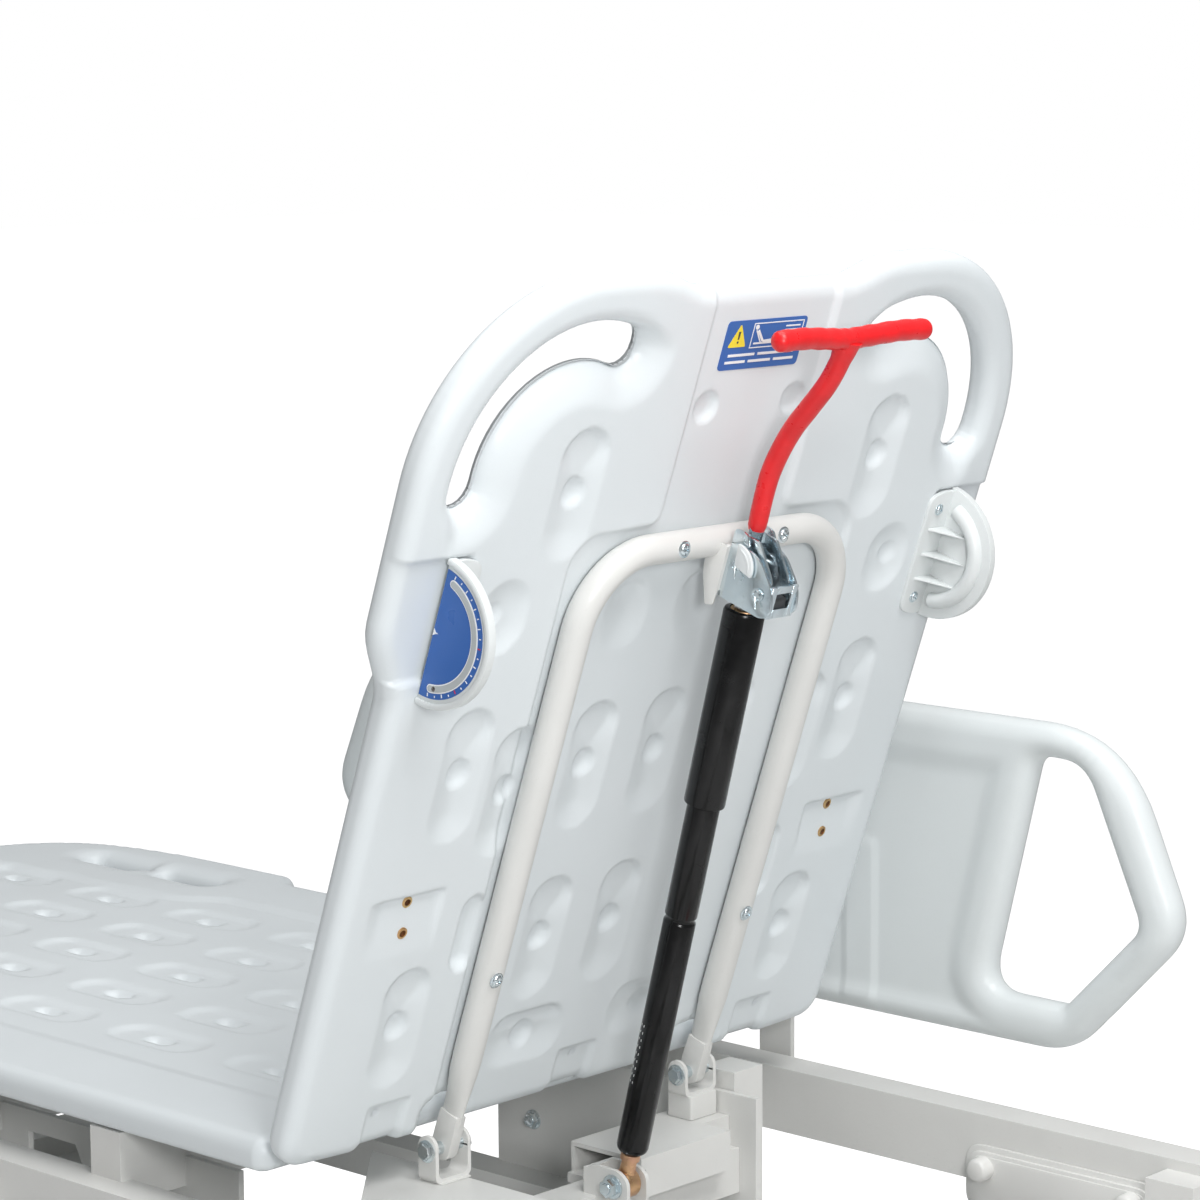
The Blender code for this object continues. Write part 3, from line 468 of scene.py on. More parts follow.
def grid_slab(name, inside, box, step, reach, rise, fall, top, bottom, matrix, ring=0.006, levels=6):
    """A slab on a fine grid whose edge rolls over by `reach` sideways, `rise` down from the top and `fall` up from
    the bottom. top and bottom are heights by place; the outermost `ring` is built as strips along the edge."""
    x0, y0, x1, y1 = box
    nx, ny = int(round((x1 - x0) / step)) + 1, int(round((y1 - y0) / step)) + 1
    gx, gy = np.meshgrid(np.linspace(x0, x1, nx), np.linspace(y0, y1, ny))
    good = inside(gx, gy) >= ring + 0.35 * step
    cell = good[:-1, :-1] & good[1:, :-1] & good[:-1, 1:] & good[1:, 1:]
    index = np.arange(nx * ny).reshape(ny, nx)
    quads = np.stack([index[:-1, :-1][cell], index[:-1, 1:][cell], index[1:, 1:][cell], index[1:, :-1][cell]], 1)
    used, quads = np.unique(quads, return_inverse=True)
    quads = quads.reshape(-1, 4)
    place = np.stack([gx.ravel()[used], gy.ravel()[used]], 1)
    halves = np.concatenate([quads[:, [0, 1]], quads[:, [1, 2]], quads[:, [2, 3]], quads[:, [3, 0]]])
    keys = np.sort(halves, 1)
    _, first, count = np.unique(keys[:, 0] * len(used) + keys[:, 1], return_index=True, return_counts=True)
    rim = halves[first[count == 1]]
    every = halves[first]
    on_rim = np.zeros(len(used), bool)
    on_rim[rim] = True

    def to_level(points, level, rounds=4):
        e = 0.0002
        for _ in range(rounds):
            x, y = points[:, 0], points[:, 1]
            here = inside(x, y)
            slope = np.stack([inside(x + e, y) - inside(x - e, y), inside(x, y + e) - inside(x, y - e)], 1) / (2 * e)
            size = np.maximum((slope ** 2).sum(1), 0.25)
            move = np.clip((level - here) / size, -0.006, 0.006)
            points = points + slope * move[:, None]
        return points

    def averaged(edges, mask, points):
        total = np.zeros_like(points)
        number = np.zeros(len(points))
        for a, b in ((0, 1), (1, 0)):
            np.add.at(total, edges[:, a], points[edges[:, b]])
            np.add.at(number, edges[:, a], 1)
        moved = points.copy()
        pick = mask & (number > 0)
        moved[pick] = 0.5 * points[pick] + 0.5 * total[pick] / number[pick, None]
        return moved

    place[on_rim] = to_level(place[on_rim], ring)
    close = on_rim.copy()
    for _ in range(3):
        grown = close.copy()
        hit = close[every[:, 0]] | close[every[:, 1]]
        grown[every[hit].ravel()] = True
        close = grown
    for _ in range(6):
        place = averaged(rim, on_rim, place)
        place[on_rim] = to_level(place[on_rim], ring, 1)
        place = averaged(every, close & ~on_rim, place)
    place[on_rim] = to_level(place[on_rim], ring, 2)

    rim_ids = np.flatnonzero(on_rim)
    slot_of = np.full(len(used), -1)
    slot_of[rim_ids] = np.arange(len(rim_ids))
    rings, depths = [], []
    points = place[rim_ids]
    start = np.arcsin(1 - ring / reach)
    for k in range(1, levels + 1):
        level = reach * (1 - sin(start + (pi / 2 - start) * k / levels))
        points = to_level(points, level, 3)
        rings.append(points)
        depths.append(np.full(len(points), level))

    def roll(depth, amount):
        share = np.clip(1 - depth / reach, 0, 1)
        return amount * (1 - np.sqrt(np.maximum(0.0, 1 - share * share)))

    n0, nr = len(used), len(rim_ids)
    verts, faces = [], []
    inner = inside(place[:, 0], place[:, 1])
    for sign, height, amount in ((-1, top, rise), (1, bottom, fall)):
        for points, depth in zip([place] + rings, [inner] + depths):
            x, y = points[:, 0], points[:, 1]
            verts.append(np.column_stack([points, height(x, y) + sign * roll(depth, amount)]))
    block = n0 + nr * levels
    faces.append(quads)
    faces.append(quads[:, ::-1] + block)
    a, b = slot_of[rim[:, 0]], slot_of[rim[:, 1]]
    for side in (0, 1):
        base = block * side
        previous_a, previous_b = rim[:, 0] + base, rim[:, 1] + base
        for k in range(levels):
            next_a, next_b = base + n0 + nr * k + a, base + n0 + nr * k + b
            band = np.stack([previous_b, previous_a, next_a, next_b], 1)
            faces.append(band if side == 0 else band[:, ::-1])
            previous_a, previous_b = next_a, next_b
    last = n0 + nr * (levels - 1)
    faces.append(np.stack([last + b, last + a, block + last + a, block + last + b], 1))
    verts = np.concatenate(verts)
    faces = np.concatenate(faces)
    verts = np.column_stack([verts, np.ones(len(verts))]) @ np.array(matrix).T
    mesh = bpy.data.meshes.new(name)
    mesh.vertices.add(len(verts))
    mesh.vertices.foreach_set("co", np.ascontiguousarray(verts[:, :3], np.float32).ravel())
    mesh.loops.add(faces.size)
    mesh.loops.foreach_set("vertex_index", np.ascontiguousarray(faces, np.int32).ravel())
    mesh.polygons.add(len(faces))
    mesh.polygons.foreach_set("loop_start", np.arange(0, faces.size, 4, dtype=np.int32))
    mesh.update(calc_edges=True)
    mesh.validate()
    return mesh


# ---- backrest board ---------------------------------------------------------------------------------
SHOULDER = (0.203, 0.622)      # centre of each shoulder's arc, across and up
SHOULDER_R = 0.169
BOARD_BACK = -0.008            # the board's back from the hinge plane
BOARD_THICK = 0.030
TUBE_R = 0.0129
LEG_Y = 0.160
BAR_T = 0.552
BEND = 0.065


def backrest_outline():
    half = [(0.0, 0.773), (0.085, 0.773), (0.097, 0.7745), (0.110, 0.779), (0.124, 0.7845), (0.140, 0.7885),
            (0.160, 0.7905), (0.183, 0.791)]
    half += [(u, t) for u, t in arc(SHOULDER, SHOULDER_R, 90, 0, 26)]
    half += [(0.372, 0.560), (0.372, 0.505)]
    for k in range(1, 9):
        f = k / 8
        half.append((0.372 - 0.027 * (f * f * (3 - 2 * f)), 0.505 - 0.070 * f))
    half += [(0.345, 0.30), (0.345, 0.042)]
    half += arc((0.317, 0.040), 0.028, 0, -90, 8)[1:]
    half += [(0.262, 0.0095), (0.256, 0.0125), (0.215, 0.0125), (0.209, 0.0095), (0.028, 0.0095), (0.022, 0.0125),
             (0.0, 0.0125)]
    return half + [(-u, t) for u, t in reversed(half[1:-1])]


def slot_outline(side):
    outer, inner = SHOULDER_R - 0.040, SHOULDER_R - 0.076
    middle, end_r = (outer + inner) / 2, (outer - inner) / 2
    start, stop = 110, -2
    points = arc(SHOULDER, outer, start, stop, 24)
    tip = arc(SHOULDER, middle, stop, stop, 1)[0]
    points += arc(tip, end_r, stop, stop - 180, 10)[1:-1]
    points += arc(SHOULDER, inner, stop, start, 18)
    tip = arc(SHOULDER, middle, start, start, 1)[0]
    points += arc(tip, end_r, start + 180, start, 10)[1:-1]
    return [(side * u, t) for u, t in points]


def backrest_board():
    edge = polygon(backrest_outline())
    slots = [polygon(slot_outline(side)) for _, side in SIDES]

    notch = polygon(rounded([(0.133, -0.05), (0.187, -0.05), (0.184, 0.040), (0.136, 0.040)], 0.010))

    def inside(u, t):
        whole = np.minimum(edge(u, t), -np.maximum(slots[0](u, t), slots[1](u, t)))
        return np.minimum(whole, -notch(np.abs(u), t))

    well = polygon(rounded([(0.079, 0.83), (0.081, 0.571), (0.160, 0.569), (0.180, 0.550), (0.180, -0.05),
                            (-0.180, -0.05), (-0.180, 0.550), (-0.160, 0.569), (-0.081, 0.571), (-0.079, 0.83)],
                           [0.001, 0.012, 0.016, 0.016, 0.001, 0.001, 0.016, 0.016, 0.012, 0.001]))
    seats = [polygon(rounded([(side * 0.290, 0.566), (side * 0.42, 0.566), (side * 0.42, 0.452),
                              (side * 0.296, 0.460)], [0.008, 0.001, 0.001, 0.010])) for _, side in SIDES]
    legs = [capsule, ]

    def tube_distance(u, t):
        """Distance from the U-frame's centreline."""
        a = np.abs(u)
        corner_t, corner_u = BAR_T - BEND, LEG_Y - BEND
        straight = np.where(t < corner_t, np.abs(a - LEG_Y), 1e9)
        bar = np.where(a < corner_u, np.abs(t - BAR_T), 1e9)
        bend = np.where((t >= corner_t) & (a >= corner_u),
                        np.abs(np.hypot(a - corner_u, t - corner_t) - BEND), 1e9)
        return np.minimum(np.minimum(straight, bar), bend)

    def back_height(u, t):
        a = np.abs(u)
        low = 0.0045 * smooth(well(u, t) / 0.0045)
        for column in (0.0, 0.088):
            for centre in (0.182, 0.3475):
                low = low + stadium(a, t, column, centre, 0.033, 0.0265)
        for column in (0.0, 0.088):
            low = low + stadium(a, t, column, 0.487, 0.004, 0.0275, dimple=0.0, depth=0.004)
        low = low + stadium(a, t, 0.246, 0.364, 0.034, 0.0265)
        low = low + stadium(a, t, 0.246, 0.130, 0.030, 0.0265)
        low = low + stadium(a, t, 0.184, 0.340, 0.033, 0.0265)
        low = low + scoop(capsule(a, t, 0.1895, 0.186, 0.1895, 0.232, 0.0135), 0.009, 0.010)
        low = low + stadium(a, t, 0.192, 0.606, 0.030, 0.0275)
        low = low + scoop(capsule(a, t, 0.243, 0.500, 0.243, 0.510, 0.0285), 0.006, 0.024)
        low = low + scoop(0.011 - np.hypot(a - 0.250, t - 0.507), 0.004, 0.009)
        low = low + scoop(0.0145 - np.hypot(a - 0.055, t - 0.669), 0.0056, 0.008 - 0.003 * np.clip((t - 0.669) / 0.014, -1, 1))
        low = low + stadium(a, t, 0.0765, 0.083, 0.022, 0.0265, sideways=True)
        # ledge behind the threaded inserts: crisp above, running out below
        ramp = np.clip((t - 0.205) / 0.055, 0, 1)
        across = smooth((a - 0.229) / 0.006) * smooth((0.318 - a) / 0.022)
        low = low + 0.0055 * ramp * across * smooth((0.2605 - t) / 0.0035)
        # clip recesses along the lower edge
        for column in (0.0, 0.2345):
            across = smooth((0.0245 - np.abs(a - column)) / 0.004)
            low = low + 0.0045 * across * smooth((0.0575 - t) / 0.0045)
            low = low + scoop(0.0028 - np.hypot(a - column - 0.011 * (column > 0.1), t - 0.047), 0.006, 0.0012)
        # seat of the angle gauge
        for seat in seats:
            low = low + 0.0042 * smooth(seat(u, t) / 0.0035)
        # the hand slot's inner side falls away
        near_slot = np.minimum(-slots[0](u, t), 9.0)
        near_slot = np.minimum(near_slot, -slots[1](u, t))
        keep = smooth((edge(u, t) - 0.040) / 0.020)
        low = low + 0.0095 * smooth(1 - near_slot / 0.034) * keep
        height = -low
        gap = tube_distance(u, t)
        groove = -0.0141 ** 2 + gap ** 2
        bed = -np.sqrt(np.maximum(-groove, 0.0)) - BOARD_BACK
        height = np.where(gap < 0.0140, np.minimum(height, bed), height)
        return BOARD_BACK + height

    def front_height(u, t):
        a = np.abs(u)
        low = 0.0020 * smooth(polygon_front(u, t) / 0.006)
        for column in (0.0, 0.086, 0.172, 0.258):
            for centre in (0.13, 0.29, 0.45):
                low = low + stadium(a, t, column, centre, 0.033, 0.0255, depth=0.003)
        for column in (0.0, 0.086):
            low = low + stadium(a, t, column, 0.61, 0.033, 0.0255, depth=0.003)
        return BOARD_BACK - BOARD_THICK + low

    polygon_front = polygon(rounded([(0.29, 0.045), (0.29, 0.50), (0.20, 0.72), (-0.20, 0.72), (-0.29, 0.50),
                                     (-0.29, 0.045)], 0.04))
    step = 0.0026
    mesh = grid_slab("backrest_shell", inside, (-0.384, 0.0, 0.384, 0.8), step, 0.0150, 0.0130, 0.0125,
                     back_height, front_height, panel_matrix())
    piece("backrest_shell", mesh, BOARD, "backrest", ["backrest_board"], smooth=180)


backrest_board()


# ---- leg board ----------------------------------------------------------------------------------------
LEG_START = HINGE.x - 0.032
LEG_FOOT = LEG_START - 1.138
LEG_TOP = HINGE.z + 0.037


def leg_board():
    wide = 0.368
    half = [(LEG_START, 0.340), (HINGE.x - 0.725, 0.340), (HINGE.x - 0.738, 0.343), (HINGE.x - 0.750, 0.354),
            (HINGE.x - 0.762, 0.365), (HINGE.x - 0.775, wide), (LEG_FOOT + 0.240, wide),
            (LEG_FOOT + 0.150, wide - 0.012), (LEG_FOOT + 0.085, wide - 0.034), (LEG_FOOT + 0.035, wide - 0.085),
            (LEG_FOOT + 0.008, wide - 0.150), (LEG_FOOT, 0.120)]
    outline = rounded(half + [(x, -y) for x, y in reversed(half)],
                      [0.012, 0.010, 0.010, 0.010, 0.010, 0.012, 0.04, 0.04, 0.04, 0.04, 0.04, 0.06] +
                      [0.06, 0.04, 0.04, 0.04, 0.04, 0.04, 0.012, 0.010, 0.010, 0.010, 0.010, 0.012])
    edge = polygon(outline)

    def slots(x, y):
        best = np.full(x.shape, -9.0)
        for centre in (HINGE.x - 0.855, HINGE.x - 0.975):
            best = np.maximum(best, capsule(x, np.abs(y), centre - 0.035, 0.291, centre + 0.035, 0.291, 0.013))
        return best

    def inside(x, y):
        return np.minimum(edge(x, y), -slots(x, y))

    rows = [HINGE.x - 0.195 - 0.162 * k for k in range(6)]
    mid = polygon(rounded([(LEG_START + 0.05, 0.243), (HINGE.x - 0.740, 0.243), (HINGE.x - 0.775, 0.212),
                           (LEG_FOOT + 0.10, 0.200), (LEG_FOOT + 0.06, 0.14), (LEG_FOOT + 0.06, -0.14),
                           (LEG_FOOT + 0.10, -0.200), (HINGE.x - 0.775, -0.212), (HINGE.x - 0.740, -0.243),
                           (LEG_START + 0.05, -0.243)], 0.03))

    def top(x, y):
        low = 0.0015 * smooth((mid(x, y) + 0.0035) / 0.003) + 0.0015 * smooth((mid(x, y) - 0.0045) / 0.003)
        for cx in rows:
            for cy in (0.0, 0.086, 0.172):
                low = low + stadium(x, np.abs(y), cx, cy, 0.034, 0.0265, depth=0.0032, dimple=0.0,
                                    sideways=True, crisp=0.007, soft=0.012)
                low = low + scoop(capsule(x, np.abs(y), cx - 0.008, cy, cx + 0.008, cy, 0.0085), 0.006, 0.005)
        low = low + 0.004 * smooth(1 + slots(x, y) / 0.030) * smooth((edge(x, y) - 0.030) / 0.02)
        return LEG_TOP - low

    def bottom(x, y):
        low = 0.0 * x
        for cx in rows:
            for cy in (0.043, 0.129, 0.215):
                low = low + stadium(x - 0.081, np.abs(y), cx, cy, 0.034, 0.024, depth=0.004, sideways=True)
        return LEG_TOP - 0.0295 + low

    step = 0.0042
    mesh = grid_slab("leg_shell", inside, (LEG_FOOT - 0.006, -0.374, LEG_START + 0.006, 0.374), step, 0.0125, 0.0150,
                     0.0090, top, bottom, Matrix.Identity(4))
    piece("leg_shell", mesh, BOARD, "deck", ["leg_board"], smooth=180)


leg_board()


# ---- side rails -------------------------------------------------------------------------------------------
RAIL_MID = -0.168
RAIL_HALF = 0.554
PIVOT_Y, PIVOT_Z = 0.400, -0.068
RAIL_INNER, RAIL_THICK = 0.380, 0.036


def side_rail(name, side):
    half = [(RAIL_HALF - 0.127, 0.015), (RAIL_HALF - 0.004, 0.144), (RAIL_HALF - 0.079, 0.319)]
    sizes = [0.034, 0.034, 0.085]
    corners = [(RAIL_MID + a, b) for a, b in half] + [(RAIL_MID - a, b) for a, b in reversed(half)]
    edge = polygon(rounded(corners, sizes + sizes[::-1], 10))
    hand = [(0.386, 0.288), (0.439, 0.286), (0.502, 0.144), (0.420, 0.059), (0.330, 0.060)]
    holes = [polygon(rounded([(RAIL_MID + end * a, b) for a, b in hand],
                             [0.016, 0.048, 0.014, 0.005, 0.034], 8)) for _, end in ENDS]
    field = polygon(rounded([(RAIL_MID - 0.48, 0.022), (RAIL_MID + 0.48, 0.022), (RAIL_MID + 0.42, 0.286),
                             (RAIL_MID - 0.42, 0.286)], 0.03))

    def hole(x, z):
        return np.maximum(holes[0](x, z), holes[1](x, z))

    def inside(x, z):
        return np.minimum(edge(x, z), -hole(x, z))

    def well(x, z):
        """The field between the rounded rim and the hand openings is thinner."""
        near = np.minimum(field(x, z), -hole(x, z) - 0.024)
        step_down = 0.0022 * smooth((0.021 - np.abs(x - 0.016)) / 0.004) * smooth((0.190 - z) / 0.012)
        return 0.0048 * smooth(near / 0.026) - step_down * smooth(near / 0.010)

    def outer(x, z):
        return 0.018 - well(x, z)

    def inner(x, z):
        return -0.018 + well(x, z)

    # local X along, Y up, Z to the outer face
    middle = RAIL_INNER + RAIL_THICK / 2 - PIVOT_Y
    m = Matrix.Identity(4)
    for column, axis in enumerate(((1, 0, 0), (0, 0, 1), (0, -1, 0))):
        for row in range(3):
            m[row][column] = axis[row]
    flip = Matrix.Scale(-1, 4, (0, 0, 1)) if side > 0 else Matrix.Identity(4)
    pivot = Matrix.Translation((HINGE.x, side * PIVOT_Y, HINGE.z + PIVOT_Z))
    turn = Matrix.Rotation(pi, 4, "X") if side < 0 else Matrix.Identity(4)
    whole = pivot @ turn @ Matrix.Translation((0, side * middle, -PIVOT_Z)) @ m @ flip
    step = 0.0042
    mesh = grid_slab(f"rail_shell_{name}", inside, (RAIL_MID - 0.566, 0.008, RAIL_MID + 0.566, 0.333), step, 0.0180,
                     0.0170, 0.0170, outer, inner, whole)
    if side > 0:
        mesh.flip_normals()
    piece(f"rail_shell_{name}", mesh, RAIL, f"side_rail_{name}", [f"side_rail_{name}"], smooth=180)


for rail_name, rail_side in SIDES:
    side_rail(rail_name, rail_side)


# ---- backrest frame, bracket and release lever ------------------------------------------------------
def bolt_head(radius, height, sides=6, matrix=None, washer=0.0):
    """A hexagon or round head with a chamfered crown, standing on local Z from its seat."""
    shapes = [turned([(0, radius), (height * 0.72, radius), (height, radius * 0.84), (height, 0.0)], sides)]
    if washer:
        shapes.append(turned([(-0.0002, 0.0), (-0.0002, washer), (0.0010, washer), (0.0013, washer - 0.0004),
                              (0.0013, 0.0)], 28))
    shape = merged(*shapes)
    if matrix is not None:
        shape.transform(matrix)
    return shape


def pan_head(radius, matrix):
    """A low domed screw head with a cross recess and a washer face."""
    dome = [(0.0, 0.0), (0.0, radius * 1.28), (0.0005, radius * 1.30), (0.0009, radius * 1.22), (0.0010, radius)]
    dome += [(0.0010 + radius * 0.55 * sin(a), radius * cos(a)) for a in (radians(15 * k) for k in range(1, 5))]
    dome += [(0.0010 + radius * 0.55, radius * 0.22), (0.0010 + radius * 0.22, radius * 0.16),
             (0.0010 + radius * 0.20, 0.0)]
    shape = turned(dome, 24)
    for vert in shape.verts:
        reach = hypot(vert.co.x, vert.co.y)
        if 0.10 * radius < reach < 0.62 * radius and vert.co.z > 0.0010 + radius * 0.4:
            turn = abs(sin(2 * np.arctan2(vert.co.y, vert.co.x)))
            vert.co.z -= radius * 0.22 * (1 - turn)
    shape.transform(matrix)
    return shape


def backrest_frame():
    path = []
    corner_t, corner_y = BAR_T - BEND, LEG_Y - BEND
    for t in (0.026, 0.034, 0.046, 0.060, 0.076, 0.092, 0.112, 0.15, 0.22, 0.30, 0.38, 0.45):
        path.append((LEG_Y, t))
    path += [(corner_y + BEND * cos(radians(a)), corner_t + BEND * sin(radians(a))) for a in range(0, 91, 6)]
    path += [(y, t) for y, t in ((-y, t) for y, t in reversed(path))]
    shapes = []
    count = len(path)
    body = tube([on_back(t, y, 0.0) for y, t in path], TUBE_R, 36, caps=True)
    # the leg ends are pressed flat into lugs
    for vert in body.verts:
        away = vert.co - HINGE
        t, y, n = away.dot(ALONG), away.y, away.dot(BEHIND)
        f = 1 - min(max((t - 0.034) / 0.052, 0.0), 1.0)
        f = f * f * (3 - 2 * f)
        if f > 0:
            side = 1 if y > 0 else -1
            off = y - side * LEG_Y
            off *= 1 - f * 0.62
            n *= 1 - f * 0.10
            vert.co = on_back(t, side * LEG_Y + off, n)
    shapes.append(body)
    for _, side in SIDES:
        lug = [(-0.0105, 0.034), (0.0105, 0.034), (0.0112, 0.020)] + \
            [(0.0115 * cos(a), 0.0115 * sin(a)) for a in (radians(-10 - 16 * k) for k in range(11))] + \
            [(-0.0112, 0.020)]
        plate = slab_of([(n, t) for n, t in lug], -0.0060, 0.0060, bevel=0.0012)
        for vert in plate.verts:
            n, t, y = vert.co
            vert.co = on_back(t, side * LEG_Y + y, n)
        shapes.append(plate)
    mesh = mesh_of(merged(*shapes), "u_frame")
    piece("u_frame", mesh, PAINT, "backrest", ["backrest_frame"])
    # screws that hold the board to the tube
    screws = []
    for t, y in ((0.546, -0.066), (0.546, 0.060), (0.170, -0.163), (0.172, 0.157)):
        if t > 0.5:
            seat = on_back(BAR_T, y, 0.0) + (BEHIND * 0.97 + ALONG * 0.22).normalized() * (TUBE_R - 0.0006)
            out = (BEHIND * 0.97 + ALONG * 0.22).normalized()
        else:
            out = BEHIND
            seat = on_back(t, y, TUBE_R - 0.0006)
        screws.append(pan_head(0.0056, aimed(seat, out, 0.4 + y * 9)))
    piece("frame_screws", mesh_of(merged(*screws), "frame_screws"), SCREW, "backrest")


backrest_frame()


def hinge_brackets():
    """Bent straps that hold the U-frame's flattened ends, with their through bolts."""
    for name, side in SIDES:
        y0 = side * LEG_Y
        base_z = -0.0275 if side < 0 else -0.020
        # a strap bent to a U: its section in y and z, then its width in x
        turn = 0.006
        outer = [(-0.0212, 0.0)] + [(-0.0212 + turn * (1 - cos(radians(a))), base_z + turn * (1 - sin(radians(a))))
                                    for a in range(0, 91, 15)]
        outer = outer + [(-y, z) for y, z in reversed(outer)]
        inner = [(y * (0.0174 / 0.0212), z + (0.0036 if z < -0.004 else 0.0)) for y, z in outer]
        strap = bmesh.new()
        loops = []
        for x in (-0.0105, 0.0105):
            loops.append([strap.verts.new((x, y, z)) for y, z in outer + inner[::-1]])
        strap.faces.new(loops[0])
        strap.faces.new(list(reversed(loops[1])))
        count = len(loops[0])
        for k in range(count):
            j = (k + 1) % count
            strap.faces.new((loops[0][k], loops[1][k], loops[1][j], loops[0][j]))
        shapes = [strap]
        for end in (-1, 1):
            ear = [(-0.0105, -0.002)] + [(0.0110 * cos(radians(a)), 0.0025 + 0.0110 * sin(radians(a)))
                                         for a in range(180, -1, -12)] + [(0.0105, -0.002)]
            plate = slab_of(ear, -0.0019, 0.0019, bevel=0.0006)
            plate.transform(Matrix.Translation((0, end * 0.0193, 0)) @ Matrix.Rotation(pi / 2, 4, "X"))
            shapes.append(plate)
        foot = slab_of(rounded([(-0.0150, -0.0180), (0.0150, -0.0180), (0.0150, 0.0180), (-0.0150, 0.0180)], 0.003),
                       base_z - (0.0004 if side < 0 else 0.0213), base_z + 0.0006, bevel=0.0006)
        shapes.append(foot)
        whole = merged(*shapes)
        whole.transform(Matrix.Translation(HINGE + ACROSS * y0))
        piece(f"hinge_strap_{name}", mesh_of(whole, f"hinge_strap_{name}"), PAINT, "deck",
              [f"hinge_bracket_{name}"])
        bolt = [turned([(-0.0212, 0.0), (-0.0212, 0.0058), (0.0262, 0.0058), (0.0270, 0.0048), (0.0270, 0.0)], 24),
                bolt_head(0.0078, 0.0050, 6, Matrix.Translation((0, 0, -0.0212)) @ Matrix.Rotation(pi, 4, "X"), 0.0098),
                bolt_head(0.0080, 0.0052, 6, Matrix.Translation((0, 0, 0.0212)), 0.0098)]
        whole = merged(*bolt)
        whole.transform(aimed(HINGE + ACROSS * y0, ACROSS, 0.3))
        piece(f"hinge_bolt_{name}", mesh_of(whole, f"hinge_bolt_{name}"), SCREW, "deck", [f"hinge_pin_{name}"])


hinge_brackets()


def plate_of(points, y_low, y_high, bevel=0.0006):
    """A plate cut in the board's length and depth (t, n), as thick as y_low to y_high."""
    shape = slab_of([(t, n) for t, n in points], y_low, y_high, bevel=bevel)
    for vert in shape.verts:
        t, n, y = vert.co
        vert.co = on_back(t, y, n)
    return shape


